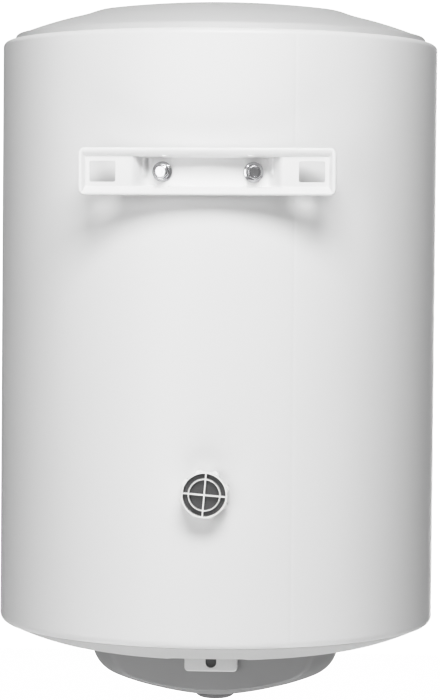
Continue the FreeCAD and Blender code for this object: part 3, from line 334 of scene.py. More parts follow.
BRUSHED_UP = (1, 1, 0.04)
BRUSHED_ACROSS = (0.04, 1, 1)
MATERIALS = {
    "jacket_enamel": surface("jacket_enamel", (0.80, 0.80, 0.80), 0.42, mottle=0.008, cloud=5.0,
                             grain=750.0, bump=0.10, depth=0.08 * MM),
    # lid's grey: partly its own colour, partly painted shade for the little light that falls on its top
    "lid_plastic": surface("lid_plastic", (0.54, 0.54, 0.54), 0.60, mottle=0.01, grain=1400.0, bump=0.05),
    # cap's colour: its own off-white, darkened with painted shade for its downward face under the lamps
    # beneath
    "cap_plastic": surface("cap_plastic", (0.60, 0.60, 0.60), 0.45, mottle=0.012, grain=1400.0, bump=0.05),
    "cover_plastic": surface("cover_plastic", (0.275, 0.275, 0.277), 0.44, mottle=0.04, grain=1700.0,
                             bump=0.14),
    "entry_plastic": surface("entry_plastic", (0.62, 0.62, 0.62), 0.42, mottle=0.03, grain=1700.0,
                             bump=0.10),
    "knob_plastic": surface("knob_plastic", (0.12, 0.12, 0.122), 0.45, mottle=0.05, grain=1700.0,
                            bump=0.14),
    "bracket_paint": surface("bracket_paint", (0.88, 0.88, 0.88), 0.36, mottle=0.01, cloud=14.0,
                             grain=900.0, bump=0.08, depth=0.08 * MM),
    "bolt_chrome": surface("bolt_chrome", (0.48, 0.48, 0.49), 0.20, 1.0, mottle=0.05, cloud=120.0,
                           grain=1500.0, bump=0.05),
    "screw_zinc": surface("screw_zinc", (0.66, 0.66, 0.65), 0.30, 1.0, mottle=0.08, cloud=90.0,
                          grain=1200.0, bump=0.10),
    "spacer_plastic": surface("spacer_plastic", (0.90, 0.90, 0.89), 0.38, mottle=0.015, cloud=30.0,
                              grain=1500.0, bump=0.06),
    "pad_rubber": surface("pad_rubber", (0.085, 0.085, 0.087), 0.75, mottle=0.12, cloud=60.0, grain=1400.0,
                          bump=0.30, speck=0.4),
    "tank_enamel": surface("tank_enamel", (0.10, 0.14, 0.22), 0.20, mottle=0.10, cloud=20.0, grain=500.0,
                           bump=0.10, speck=0.3),
    "flange_steel": surface("flange_steel", (0.56, 0.56, 0.57), 0.36, 1.0, mottle=0.08, cloud=40.0,
                            grain=900.0, bump=0.20, stretch=BRUSHED_ACROSS),
    "pipe_steel": surface("pipe_steel", (0.62, 0.62, 0.61), 0.30, 1.0, mottle=0.08, cloud=60.0, grain=900.0,
                          bump=0.16, stretch=BRUSHED_UP),
    "blue_plastic": surface("blue_plastic", (0.03, 0.16, 0.55), 0.36, mottle=0.05, grain=1500.0, bump=0.08),
    "red_plastic": surface("red_plastic", (0.60, 0.03, 0.03), 0.36, mottle=0.05, grain=1500.0, bump=0.08),
    "diffuser_plastic": surface("diffuser_plastic", (0.82, 0.82, 0.76), 0.45, mottle=0.04, grain=1500.0),
    "gasket_rubber": surface("gasket_rubber", (0.03, 0.03, 0.03), 0.70, mottle=0.15, grain=1300.0,
                             bump=0.30),
    "element_copper": surface("element_copper", (0.72, 0.40, 0.28), 0.28, 1.0, mottle=0.12, cloud=40.0,
                              bump=0.15, stretch=BRUSHED_UP),
    "terminal_brass": surface("terminal_brass", (0.72, 0.58, 0.30), 0.28, 1.0, mottle=0.10, cloud=80.0,
                              bump=0.12, stretch=BRUSHED_UP),
    "case_plastic": surface("case_plastic", (0.045, 0.045, 0.047), 0.42, mottle=0.10, grain=1500.0,
                            bump=0.12),
    "anode_magnesium": surface("anode_magnesium", (0.62, 0.62, 0.62), 0.55, 1.0, mottle=0.12, cloud=50.0,
                               grain=500.0, bump=0.35, speck=0.3),
    "lens_plastic": see_through("lens_plastic", (0.80, 0.28, 0.04), 0.12, 0.6),
    "lamp_glass": see_through("lamp_glass", (0.95, 0.62, 0.42), 0.05, 0.9),
    "foam": surface("foam", (0.86, 0.74, 0.46), 0.85, mottle=0.10, cloud=30.0, grain=350.0, bump=0.6,
                    depth=0.4 * MM, speck=0.35),
}
for part in frame["record"]["subparts"]:
    cad_mesh = frame["nodes"][part["node"]].data
    cad_mesh.materials.clear()
    cad_mesh.materials.append(MATERIALS[part["material_slot"]])


# ---------------------------------------------------------------- jacket
JACKET_SEGMENTS = 256
JACKET_SKIN = 1.0 * MM
JACKET_TOP_ROLL = 6.0 * MM
JACKET_BASE_ROLL = 8.4 * MM
ROLL_LEAD = 0.05 * MM                   # straight left at the start of a roll
RIM_RADIUS, RIM_ROUND = 214.5 * MM, 0.4 * MM
SEAM_ANGLE = math.radians(90 + 21.7)    # of the jacket's butt seam, from +X about the drum
SEAM_DEPTH = 0.22 * MM
SEAM_SPREAD = math.radians(0.45)


def jacket():
    """Painted sleeve rolled in at both ends, with a faint seam down its wall side."""
    inner = DRUM_RADIUS - JACKET_SKIN
    base_edge = DRUM_RADIUS - JACKET_BASE_ROLL
    outline = filleted([
        (base_edge, BASE), (DRUM_RADIUS, BASE, JACKET_BASE_ROLL - ROLL_LEAD),
        (DRUM_RADIUS, RIM, JACKET_TOP_ROLL), (RIM_RADIUS, RIM, RIM_ROUND),
        (RIM_RADIUS, RIM - JACKET_SKIN, RIM_ROUND),
        (inner, RIM - JACKET_SKIN, JACKET_TOP_ROLL - JACKET_SKIN),
        (inner, BASE + JACKET_SKIN, JACKET_BASE_ROLL - JACKET_SKIN - ROLL_LEAD),
        (base_edge, BASE + JACKET_SKIN),
    ], steps=10)
    even = [TURN * k / JACKET_SEGMENTS for k in range(JACKET_SEGMENTS)]
    at_seam = [SEAM_ANGLE + SEAM_SPREAD * k / 4 for k in range(-8, 9)]
    angles = sorted([a for a in even if abs(a - SEAM_ANGLE) > 2.5 * SEAM_SPREAD] + at_seam)
    rows = []
    for radius, height in outline:
        row = []
        for angle in angles:
            groove = SEAM_DEPTH * math.exp(-((angle - SEAM_ANGLE) / SEAM_SPREAD) ** 2)
            reach = radius - groove
            row.append((AXIS.x + reach * math.cos(angle), AXIS.y + reach * math.sin(angle), height))
        rows.append(row)
    bm = bmesh.new()
    skin_rows(bm, rows, close_along=True)
    return to_object("jacket", bm)


place_piece(jacket(), "casing", MATERIALS["jacket_enamel"], "jacket_enamel", "outer_jacket")


# ---------------------------------------------------------------- lid
LID_WALL, LID_SEGMENTS = 2.0 * MM, 288
LID_RADIUS, LID_SKIRT = 214.2 * MM, 8 * MM
DOME_FOOT = (208.2 * MM, 7.0 * MM)      # radius, and height above the jacket's rim
DOME_EDGE = (130.0 * MM, 29.6 * MM)
DOME_SPHERE = 400 * MM
CROWN_RISE = lid_high.z - RIM
CROWN_FOOT, CROWN_FLARE = 137 * MM, 2.78
CROWN_LENGTH_RADIUS, CROWN_SIDE_RADIUS = 632 * MM, 990 * MM
CROWN_ALONE = 60 * MM                   # radius that only the crown covers
CROWN_BLEND, DOME_BLEND, DOME_CEILING = 1.6 * MM, 1.2 * MM, 6 * MM
LID_RINGS = ([207 - 3 * k for k in range(24)] + [136 - 0.75 * k for k in range(61)]
             + [88, 80, 70, 60, 50, 40, 30, 20, 10, 5])      # radii of the dome's rings, in millimetres


def lid():
    """Skirt, slanted band, lip, and a dome whose raised centre dies away to the front and rear."""
    drop = DOME_FOOT[1] - DOME_EDGE[1]
    run = DOME_FOOT[0] - DOME_EDGE[0]
    chord = math.hypot(run, drop)
    rise = math.sqrt(DOME_SPHERE ** 2 - (chord / 2) ** 2)
    centre_r = (DOME_FOOT[0] + DOME_EDGE[0]) / 2 - rise * abs(drop) / chord
    centre_h = (DOME_FOOT[1] + DOME_EDGE[1]) / 2 - rise * run / chord

    def height(x, y):
        r = math.hypot(x, y)
        dome = centre_h + math.sqrt(DOME_SPHERE ** 2 - (r - centre_r) ** 2)
        sag = CROWN_LENGTH_RADIUS - math.sqrt(CROWN_LENGTH_RADIUS ** 2 - y * y)
        crown = CROWN_RISE - CROWN_SIDE_RADIUS + math.sqrt((CROWN_SIDE_RADIUS - sag) ** 2 - x * x)
        riser = DOME_EDGE[1] + (CROWN_FOOT - r) / CROWN_FLARE
        if r < CROWN_ALONE:
            return crown
        raised = soft_min(crown, riser, CROWN_BLEND)
        return soft_max(min(dome, DOME_EDGE[1] + DOME_CEILING), raised, DOME_BLEND)

    band = filleted([
        (LID_RADIUS, -LID_SKIRT), (LID_RADIUS, 0, 0.5 * MM), (212.0 * MM, 5.6 * MM, 0.5 * MM),
        (210.8 * MM, 6.9 * MM, 0.9 * MM), (208.4 * MM, 7.0 * MM, 0.5 * MM), (200 * MM, -LID_SKIRT),
    ])[:-1]
    angles = [TURN * k / LID_SEGMENTS for k in range(LID_SEGMENTS)]
    around = [(math.cos(a), math.sin(a)) for a in angles]
    rows = [[(AXIS.x + r * c, AXIS.y + r * d, RIM + h) for c, d in around] for r, h in band]
    for r in (ring * MM for ring in LID_RINGS):
        rows.append([(AXIS.x + r * c, AXIS.y + r * d, RIM + height(r * c, r * d)) for c, d in around])
    bm = bmesh.new()
    grid = skin_rows(bm, rows)
    bm.faces.new(grid[-1])
    return thicken(to_object("lid", bm), LID_WALL)


place_piece(lid(), "casing", MATERIALS["lid_plastic"], "lid_plastic", "top_lid")


# ---------------------------------------------------------------- service cover
COVER_WALL = 2.5 * MM
FACET = cover_high.y                    # plane of the flat rear facet
FACET_ROUND = 5 * MM
DISH_RADIUS, DISH_FLOOR, DISH_ROUND = 22 * MM, -525 * MM, 1.2 * MM
COVER_RADIUS, COVER_SEGMENTS = 130 * MM, 288
CABLE_HOLE_Z = -492 * MM


def cover():
    """Grey bowl with a soft-edged rear facet, a dish for the knob and a hole for the cable."""
    shoulder, rim_foot = (108.7 * MM, -513.5 * MM), (127.5 * MM, -492.3 * MM)
    outline = [(1 * MM, DISH_FLOOR), (DISH_RADIUS - DISH_ROUND, DISH_FLOOR)]
    outline += arc(outline[-1], (DISH_RADIUS, DISH_FLOOR - DISH_ROUND), -DISH_ROUND, 4)
    outline += [(DISH_RADIUS, cover_low.z + DISH_ROUND)]
    outline += arc(outline[-1], (DISH_RADIUS + DISH_ROUND, cover_low.z + 0.15 * MM), DISH_ROUND, 5)
    foot_edge, waist = (35 * MM, -534.7 * MM), (75 * MM, -525 * MM)
    outline += [foot_edge, *arc(foot_edge, waist, 420 * MM, 10), *arc(waist, shoulder, 230 * MM, 10)]
    outline += arc(shoulder, rim_foot, 32 * MM, 12)
    outline += [(lerp(rim_foot[0], COVER_RADIUS, t), lerp(rim_foot[1], cover_high.z, t))
                for t in (0.33, 0.66, 1)]
    rows = []
    for r, h in outline:
        row = []
        for k in range(COVER_SEGMENTS):
            angle = TURN * k / COVER_SEGMENTS
            x, y = r * math.cos(angle), r * math.sin(angle)
            row.append((AXIS.x + x, min(soft_min(AXIS.y + y, FACET, FACET_ROUND), FACET), h))
        rows.append(row)
    bm = bmesh.new()
    grid = skin_rows(bm, rows)
    bm.faces.new(grid[0])
    bowl = thicken(to_object("cover", bm), COVER_WALL, sharp=40)
    cable = prism("cable_hole", rounded_box(7 * MM, 8 * MM, 1 * MM), -12 * MM, 12 * MM,
                  lambda a, b, h: (a, FACET + h, CABLE_HOLE_Z + b))
    return carve(bowl, cable, sharp=40)


def cover_ledge():
    """Small shelf inside the facet, where the cable clamp sits."""
    return prism("cover_ledge", rounded_box(17 * MM, 7 * MM, 1.5 * MM), -505 * MM, -500 * MM,
                 lambda a, b, h: (a, FACET - 9.5 * MM + b, h), bevel=0.6 * MM)


place_piece(cover(), "casing", MATERIALS["cover_plastic"], "cover_plastic", "service_cover")
place_piece(cover_ledge(), "casing", MATERIALS["cover_plastic"], "cover_plastic")


# ---------------------------------------------------------------- cable entry plate
ENTRY_WALL, ENTRY_BEVEL = 2.2 * MM, 1.7 * MM
SLOT_HALF, SLOT_ROUND_DROP = 5.4 * MM, 4.1 * MM


def entry_place(a, b, h):
    """Point a across and b up from the middle of the plate's face, and h in from it."""
    return a, entry_high.y - h, (entry_low.z + entry_high.z) / 2 + b


def entry_plate():
    """Light grey tray with rounded corners and a U-shaped slot."""
    half = (entry_high.x - entry_low.x) / 2
    half_up = (entry_high.z - entry_low.z) / 2
    depth = entry_high.y - entry_low.y
    outline = filleted([(-half, -half_up, 4.2 * MM), (half, -half_up, 4.2 * MM),
                        (half, half_up, 1.6 * MM), (-half, half_up, 1.6 * MM)], 8)
    plate = prism("entry_plate", outline, 0, depth, entry_place, bevel=ENTRY_BEVEL, bevel_steps=5)
    inner = rounded_box(half - ENTRY_WALL, half_up - ENTRY_WALL, 2 * MM)
    carve(plate, prism("entry_hollow", inner, ENTRY_WALL, depth + 5 * MM, entry_place))
    slot_top = half_up - 1.3 * MM
    left, right = (-SLOT_HALF, slot_top - SLOT_ROUND_DROP), (SLOT_HALF, slot_top - SLOT_ROUND_DROP)
    slot = [(-SLOT_HALF, slot_top), left, *arc(left, right, SLOT_HALF + 0.001 * MM, 16),
            (SLOT_HALF, slot_top)]
    carve(plate, prism("entry_slot", slot, -3 * MM, 6 * MM, entry_place))
    return plate


def slot_sheet():
    """Dark grey sheet across the slot, behind the plate's face."""
    return prism("slot_sheet", rounded_box(7.5 * MM, 5 * MM, 1.5 * MM), 2.6 * MM, 3.6 * MM, entry_place,
                 bevel=0.3 * MM)


place_piece(entry_plate(), "casing", MATERIALS["entry_plastic"], "entry_plastic", "cable_entry_plate")
place_piece(slot_sheet(), "casing", MATERIALS["pad_rubber"], "pad_rubber")


# ---------------------------------------------------------------- wall bracket
BRACKET_HALF = (bracket_high.x - bracket_low.x) / 2
BRACKET_HALF_HEIGHT = (bracket_high.z - bracket_low.z) / 2
BRACKET_CORNER = 6 * MM
BRACKET_SKEW = math.radians(0.24)      # it hangs a little askew on its bolts
BRACKET_SHEET = 2.0 * MM
BRACKET_RETURN = 14 * MM
EDGE_ROUND = 1.6 * MM
TRAY_DEPTH = 5 * MM
BOLT_ANGLE = math.radians(11)
BOLT_SEAT = DRUM_RADIUS + 3.95 * MM
BOLT_X = BOLT_SEAT * math.sin(BOLT_ANGLE)
HOOK_X, HOOK_HALF_WIDTH, HOOK_HALF_HEIGHT = 100 * MM, 12.5 * MM, 10 * MM
HOOK_ROUND = 1.5 * MM
RIM_FLAT, TRAY_SLOPE = 2.4 * MM, 6.0 * MM
TRAY_ENDS = (120.0 * MM, 115.6 * MM)    # where the tray's end slopes start and finish, across
TROUGH_GAP, TROUGH_REACH = 2.4 * MM, 80 * MM
TROUGH_ENDS, TROUGH_EDGES = (73 * MM, 55 * MM), (15.4 * MM, 13.0 * MM)
PAD_DROP, PAD_TOP, PAD_PROUD = 0.6 * MM, 15.5 * MM, -8 * MM      # below PAD_PROUD a pad always stands out
PAD_HALVES, PAD_TAPER = (6.6 * MM, 8.6 * MM), (-14 * MM, 2 * MM)
PAD_SIDE, PAD_FOOT = 0.8 * MM, (-15.8 * MM, -14.6 * MM)
RIB_X, RIB_RISE, RIB_SIDES = 60.5 * MM, 2.6 * MM, (2.4 * MM, 0.9 * MM)
RIB_FOOT, RIB_HEAD = (-6 * MM, -1 * MM), (15.5 * MM, 13 * MM)
DOT_X, DOT_Z, DOT_DEPTH = 41 * MM, 14.6 * MM, 2.6 * MM           # pressed dots above the bolts
DOT_HALF, DOT_HALF_HEIGHT = 3.4 * MM, 0.8 * MM
CORNER_STEPS, SIDE_STEPS = 8, (46, 280)                          # of a ring: corner, short and long side
RETURN_DEPTHS = (BRACKET_RETURN, 10 * MM, 6 * MM, 3 * MM, EDGE_ROUND)
FACE_INSETS = [2.0 + 0.4 * k for k in range(27)] + [13.2, 14.2, 15.4, 16.8, 18.4, 20.2, 21.6]


def bracket_depth(x, z):
    """Depth of the drawn face in front of the wall plane: rim, tray, trough, bolt pads and ribs."""
    across = abs(x)
    slope = min(max((BRACKET_HALF_HEIGHT - RIM_FLAT - abs(z)) / TRAY_SLOPE, 0), 1)
    sides = min(ramp(across, *TRAY_ENDS), slope ** (1.7 if z > 0 else 1))
    depth = TRAY_DEPTH * sides
    floor = -AXIS.y - math.sqrt((DRUM_RADIUS + TROUGH_GAP) ** 2 - min(across, TROUGH_REACH) ** 2)
    mouth = soft_min(ramp(across, *TROUGH_ENDS), ramp(abs(z), *TROUGH_EDGES), 0.1)
    depth += (floor - TRAY_DEPTH) * max(mouth, 0)
    pad = -AXIS.y - (BOLT_SEAT - across * math.sin(BOLT_ANGLE)) / math.cos(BOLT_ANGLE)
    pad_half = lerp(*PAD_HALVES, ramp(z, *PAD_TAPER))
    on_pad = ramp(abs(across - BOLT_X), pad_half + PAD_SIDE, pad_half) * ramp(z, *PAD_FOOT)
    if z < PAD_PROUD or (z < PAD_TOP and depth > pad):
        depth = lerp(depth, pad + PAD_DROP, on_pad)
    rib = ramp(abs(across - RIB_X), *RIB_SIDES) * ramp(z, *RIB_FOOT) * ramp(z, *RIB_HEAD)
    depth -= RIB_RISE * rib
    dot = math.exp(-((across - DOT_X) / DOT_HALF) ** 4 - ((z - DOT_Z) / DOT_HALF_HEIGHT) ** 4)
    return lerp(depth, min(depth, DOT_DEPTH), dot)


def ring_points(inset):
    """Points round a rounded rectangle that lies inset from the bracket's outline, always as many."""
    half, half_height = BRACKET_HALF - inset, BRACKET_HALF_HEIGHT - inset
    radius = max(BRACKET_CORNER - inset, 0.05 * MM)
    points = []
    corners = [(half - radius, radius - half_height, -90), (half - radius, half_height - radius, 0),
               (radius - half, half_height - radius, 90), (radius - half, radius - half_height, 180)]
    for i, (x, z, start) in enumerate(corners):
        angles = [math.radians(start + 90 * k / CORNER_STEPS) for k in range(CORNER_STEPS + 1)]
        points += [(x + radius * math.cos(a), z + radius * math.sin(a)) for a in angles]
        after = corners[(i + 1) % 4]
        first = math.radians(after[2])
        ahead = (after[0] + radius * math.cos(first), after[1] + radius * math.sin(first))
        here, parts = points[-1], SIDE_STEPS[i % 2]
        points += [(lerp(here[0], ahead[0], k / parts), lerp(here[1], ahead[1], k / parts))
                   for k in range(1, parts)]
    return points


def cut_window(bm, centre_x, outline):
    """Cut a convex outline of (across, up) out of a skin that faces the wall."""
    def box_faces():
        """Faces near the window."""
        reach_x = max(a for a, _ in outline) + 2 * MM
        reach_z = max(b for _, b in outline) + 2 * MM
        return [f for f in bm.faces if abs(f.calc_center_median().x - centre_x) < reach_x
                and abs(f.calc_center_median().z) < reach_z]

    sides = []
    for (a, b), (c, d) in zip(outline, outline[1:] + outline[:1]):
        outwards = Vector((d - b, 0, a - c)).normalized()
        sides.append((Vector((centre_x + a, 0, b)), outwards))
        near = box_faces()
        geometry = near + list({e for f in near for e in f.edges})
        geometry += list({v for f in near for v in f.verts})
        bmesh.ops.bisect_plane(bm, geom=geometry, dist=1e-7, plane_co=sides[-1][0], plane_no=outwards)

    def inside(face):
        middle = face.calc_center_median()
        return all((Vector((middle.x, 0, middle.z)) - point).dot(outwards) < 0 for point, outwards in sides)

    bmesh.ops.delete(bm, geom=[f for f in box_faces() if inside(f)], context="FACES")


def bracket():
    """Drawn panel: a returned flange, a rounded rim, a tray and a trough that follows the drum."""
    rows = [[(x, -d, z) for x, z in ring_points(0)] for d in RETURN_DEPTHS]
    for k in range(1, 7):
        angle = math.pi / 2 * k / 6
        inset, d = EDGE_ROUND * (1 - math.cos(angle)), EDGE_ROUND * (1 - math.sin(angle))
        rows.append([(x, -d, z) for x, z in ring_points(inset)])
    for inset in FACE_INSETS:
        rows.append([(x, -bracket_depth(x, z), z) for x, z in ring_points(inset * MM)])
    bm = bmesh.new()
    grid = skin_rows(bm, rows)
    ring, start = grid[-1], CORNER_STEPS + SIDE_STEPS[0] // 2      # start lies on the middle line
    for k in range(len(ring) // 2):
        ahead = [ring[(start + k) % len(ring)], ring[(start + k + 1) % len(ring)]]
        bm.faces.new(list(dict.fromkeys(ahead + [ring[start - k - 1], ring[start - k]])))
    for side in (-1, 1):
        cut_window(bm, side * HOOK_X, rounded_box(HOOK_HALF_WIDTH, HOOK_HALF_HEIGHT, HOOK_ROUND, 3))
    bmesh.ops.rotate(bm, verts=bm.verts, cent=(0, 0, 0), matrix=Matrix.Rotation(BRACKET_SKEW, 3, "Y"))
    return thicken(to_object("bracket", bm, 60), BRACKET_SHEET, sharp=50)


place_piece(bracket(), "casing", MATERIALS["bracket_paint"], "bracket_paint", "wall_bracket")


# ---------------------------------------------------------------- bracket bolts
def turn_to(direction):
    """Rotation that points Z along a direction."""
    return direction.normalized().to_track_quat("Z", "Y").to_matrix()


BOLT_SEGMENTS = 144
HEX_FLAT, HEX_CORNER, HEX_SOFT = 6.5 * MM, 7.42 * MM, 0.25 * MM
HEAD_TOP, CHAMFER_RADIUS, CHAMFER_FALL = 9 * MM, 6.0 * MM, 0.55


def bolt(name, side, recess_radius, recess_depth, spin):
    """Hex flange head: a dished flange, six flats with a turned chamfer and a forged top."""
    direction = Vector((side * math.sin(BOLT_ANGLE), math.cos(BOLT_ANGLE), 0))
    seat = Vector((AXIS.x, AXIS.y, 0)) + direction * BOLT_SEAT
    turn = turn_to(direction)
    flange = filleted([(0.5 * MM, 0), (9.8 * MM, 0, 0.3 * MM), (9.6 * MM, 1.3 * MM, 0.4 * MM),
                       (7.4 * MM, 2.1 * MM, 0.6 * MM), (0.5 * MM, 2.1 * MM)])
    washer = lathe(name + "_flange", flange, seat, 96, turn, closed=False)
    columns = []
    for k in range(BOLT_SEGMENTS):
        angle = TURN * k / BOLT_SEGMENTS
        out = HEX_FLAT / math.cos((angle + TURN / 12) % (TURN / 6) - TURN / 12)
        out = soft_min(out, HEX_CORNER, HEX_SOFT)
        edge = HEAD_TOP - 0.25 * MM - max(out - CHAMFER_RADIUS, 0) * CHAMFER_FALL
        profile = [(out, 1.5 * MM), (out, edge - 0.3 * MM), (out - 0.12 * MM, edge),
                   (CHAMFER_RADIUS, HEAD_TOP - 0.12 * MM), (CHAMFER_RADIUS - 0.3 * MM, HEAD_TOP),
                   (recess_radius, HEAD_TOP), (recess_radius - 0.5 * MM, HEAD_TOP - recess_depth * 0.7),
                   (0.3 * MM, HEAD_TOP - recess_depth)]
        across, along = math.cos(angle + spin), math.sin(angle + spin)
        columns.append([seat + turn @ Vector((r * across, r * along, h)) for r, h in profile])
    rows = list(zip(*columns))
    bm = bmesh.new()
    grid = skin_rows(bm, rows)
    bm.faces.new(grid[-1])
    bm.faces.new(grid[0])
    head = to_object(name + "_head", bm, 30)
    shank = lathe(name + "_shank", [(0.3 * MM, 0.2 * MM), (3.9 * MM, 0.2 * MM), (3.9 * MM, -22 * MM),
                                    (3.2 * MM, -23 * MM), (0.3 * MM, -23 * MM)], seat, 48, turn)
    return joined(name, [washer, head, shank])


place_piece(bolt("bolt_left", 1, 3.0 * MM, 0.08 * MM, 0.26), "casing", MATERIALS["bolt_chrome"],
            "bolt_chrome", "bracket_bolts")
place_piece(bolt("bolt_right", -1, 4.6 * MM, 1.6 * MM, 0.10), "casing", MATERIALS["bolt_chrome"],
            "bolt_chrome", "bracket_bolts")


# ---------------------------------------------------------------- lower spacer
FOOT_RADIUS = (foot_high.x - foot_low.x) / 2
FOOT_DEPTH = 7.5 * MM
FLOOR_SHEET = 2 * MM
WEB, WEB_ROUND = 1.6 * MM, 0.35 * MM
RING_RADIUS, RING_WEB = 15.6 * MM, 1.1 * MM
CROSS_TURN = math.radians(-4.5)
STEM_FLAT, STEM_RADIUS, STEM_START = 6.0 * MM, 8.5 * MM, 6.5 * MM
WHEEL_NEAR, WHEEL_FAR, WHEEL_BORE = 8.0 * MM, 15.5 * MM, 8.6 * MM
WHEEL_RADIUS, LOBE_RADIUS, LOBE_REACH = 21.4 * MM, 4.4 * MM, 20.1 * MM
LOBES, FIRST_LOBE, WHEEL_SEGMENTS = 8, math.radians(29), 256
HUB_RADIUS, HUB_FAR, HUB_ROUND = 12 * MM, 22.5 * MM, 0.4 * MM
TO_WALL = Matrix.Rotation(math.radians(-90), 3, "X")


def foot():
    """Foot seen from the wall: rim, ring and cross standing on a floor, with a keyed stem behind."""
    floor, rear = -(FOOT_DEPTH - FLOOR_SHEET), -FOOT_DEPTH + MM
    rim = lathe("foot_rim", filleted([
        (0.5 * MM, -FOOT_DEPTH), (FOOT_RADIUS, -FOOT_DEPTH, 0.6 * MM), (FOOT_RADIUS, 0, WEB_ROUND),
        (FOOT_RADIUS - WEB, 0, WEB_ROUND), (FOOT_RADIUS - WEB, floor), (0.5 * MM, floor)]),
        SPACER, 128, TO_WALL)
    ring = lathe("foot_ring", filleted([
        (RING_RADIUS - RING_WEB, rear), (RING_RADIUS, rear), (RING_RADIUS, 0, WEB_ROUND),
        (RING_RADIUS - RING_WEB, 0, WEB_ROUND)]), SPACER, 128, TO_WALL)
    reach = FOOT_RADIUS - WEB / 2
    walls = []
    for k in range(2):
        angle = CROSS_TURN + math.pi / 2 * k
        along_wall = Vector((math.cos(angle), 0, -math.sin(angle)))
        across_wall = Vector((math.sin(angle), 0, math.cos(angle)))
        crest = -0.02 * MM * k                 # one wall a hair lower, so that the crests don't share a plane
        section = filleted([(-WEB / 2, rear), (WEB / 2, rear), (WEB / 2, crest, WEB_ROUND),
                            (-WEB / 2, crest, WEB_ROUND)])
        walls.append(prism(f"foot_wall_{k}", section, -reach, reach,
                           lambda a, b, h: SPACER + along_wall * h + across_wall * a + Vector((0, b, 0))))
    corner = math.acos(STEM_FLAT / STEM_RADIUS)
    side = [(-math.pi / 2 + corner) + (math.pi - 2 * corner) * i / 16 for i in range(17)]
    stem_outline = [(STEM_RADIUS * math.cos(a), STEM_RADIUS * math.sin(a)) for a in side]
    stem_outline += [(-x, -z) for x, z in stem_outline]
    stem = prism("foot_stem", stem_outline, STEM_START, -foot_low.y,
                 lambda a, b, h: SPACER + Vector((a, -h, b)), bevel=0.4 * MM)
    return joined("foot", [rim, ring, *walls, stem])


def wheel():
    """Lobed nut: a rounded disc with eight grips and a hub behind it."""
    half_step = TURN / (2 * LOBES)
    edge = []
    for k in range(WHEEL_SEGMENTS):
        angle = TURN * k / WHEEL_SEGMENTS
        from_lobe = (angle - FIRST_LOBE + half_step) % (TURN / LOBES) - half_step
        offset = LOBE_REACH * math.sin(from_lobe)
        bump = LOBE_REACH * math.cos(from_lobe) + math.sqrt(max(LOBE_RADIUS ** 2 - offset ** 2, 0))
        edge.append((angle, soft_max(WHEEL_RADIUS, bump if abs(offset) < LOBE_RADIUS else 0, 0.8 * MM)))

    def row(depth, radius_at):
        return [SPACER + Vector((radius_at(e) * math.cos(a), -depth, radius_at(e) * math.sin(a)))
                for a, e in edge]

    rows = [row(WHEEL_NEAR, lambda e: WHEEL_BORE)]
    for inset, depth in ((-0.9, WHEEL_NEAR), (-0.25, WHEEL_NEAR + 0.25 * MM), (0, WHEEL_NEAR + 0.9 * MM),
                         (0, WHEEL_FAR - 0.9 * MM), (-0.25, WHEEL_FAR - 0.25 * MM), (-0.9, WHEEL_FAR)):
        rows.append(row(depth, lambda e: e + inset * MM))
    for r, depth in ((HUB_RADIUS, WHEEL_FAR), (HUB_RADIUS, HUB_FAR - HUB_ROUND),
                     (HUB_RADIUS - HUB_ROUND, HUB_FAR), (WHEEL_BORE, HUB_FAR)):
        rows.append(row(depth, lambda e: r))
    bm = bmesh.new()
    skin_rows(bm, rows, close_along=True)
    return to_object("wheel", bm, 40)


place_piece(foot(), "foot", MATERIALS["spacer_plastic"], "spacer_plastic", "spacer_foot")
place_piece(wheel(), "wheel", MATERIALS["spacer_plastic"], "spacer_plastic", "spacer_wheel")


# ---------------------------------------------------------------- thermostat knob
KNOB_RADIUS, KNOB_SEGMENTS, FLUTES = 20.4 * MM, 288, 36
FLUTE_DEPTH, FLUTE_START = 0.45 * MM, 18.5 * MM
POINTER_Y, POINTER_DEPTH = 11.5 * MM, 1.8 * MM


def knob():
    """Disc with a rounded face, fine flutes round its side and a pointer groove."""
    top, low = knob_high.z, knob_low.z
    outline = [(0.3 * MM, low), (12 * MM, low)]
    outline += arc(outline[-1], (KNOB_RADIUS, low + 4.2 * MM), 11 * MM, 8)
    outline += [(KNOB_RADIUS, low + 8 * MM), (KNOB_RADIUS, top - 0.6 * MM),
                (KNOB_RADIUS - 0.6 * MM, top), (0.3 * MM, top)]
    rows = []
    for r, h in outline:
        row = []
        for k in range(KNOB_SEGMENTS):
            angle = TURN * k / KNOB_SEGMENTS
            bite = FLUTE_DEPTH * (0.5 - 0.5 * math.cos(FLUTES * angle)) * ramp(r, FLUTE_START, KNOB_RADIUS)
            row.append((AXIS.x + (r - bite) * math.cos(angle), AXIS.y + (r - bite) * math.sin(angle), h))
        rows.append(row)
    bm = bmesh.new()
    grid = skin_rows(bm, rows)
    bm.faces.new(grid[0])
    bm.faces.new(grid[-1])
    disc = to_object("knob", bm, 40)
    groove = prism("knob_groove", rounded_box(1.5 * MM, 6 * MM, 1.4 * MM), low - 2 * MM,
                   low + POINTER_DEPTH, lambda a, b, h: (AXIS.x + a, AXIS.y - POINTER_Y + b, h))
    return carve(disc, groove, sharp=40)


place_piece(knob(), "knob", MATERIALS["knob_plastic"], "knob_plastic", "thermostat_knob")


# ---------------------------------------------------------------- bottom cap
CAP_SHEET, CAP_SEGMENTS, CAP_RADIUS, CAP_LAP = 1.5 * MM, 360, 216.4 * MM, 1.4 * MM
OPENING_RADIUS, OPENING_FLAT = 123.3 * MM, 72.5 * MM
DISH_ARC = 250 * MM
ENTRY_RELIEF = 3.2 * MM
RELIEF_SIDES, RELIEF_END = (42 * MM, 24 * MM), (172 * MM, 145 * MM)


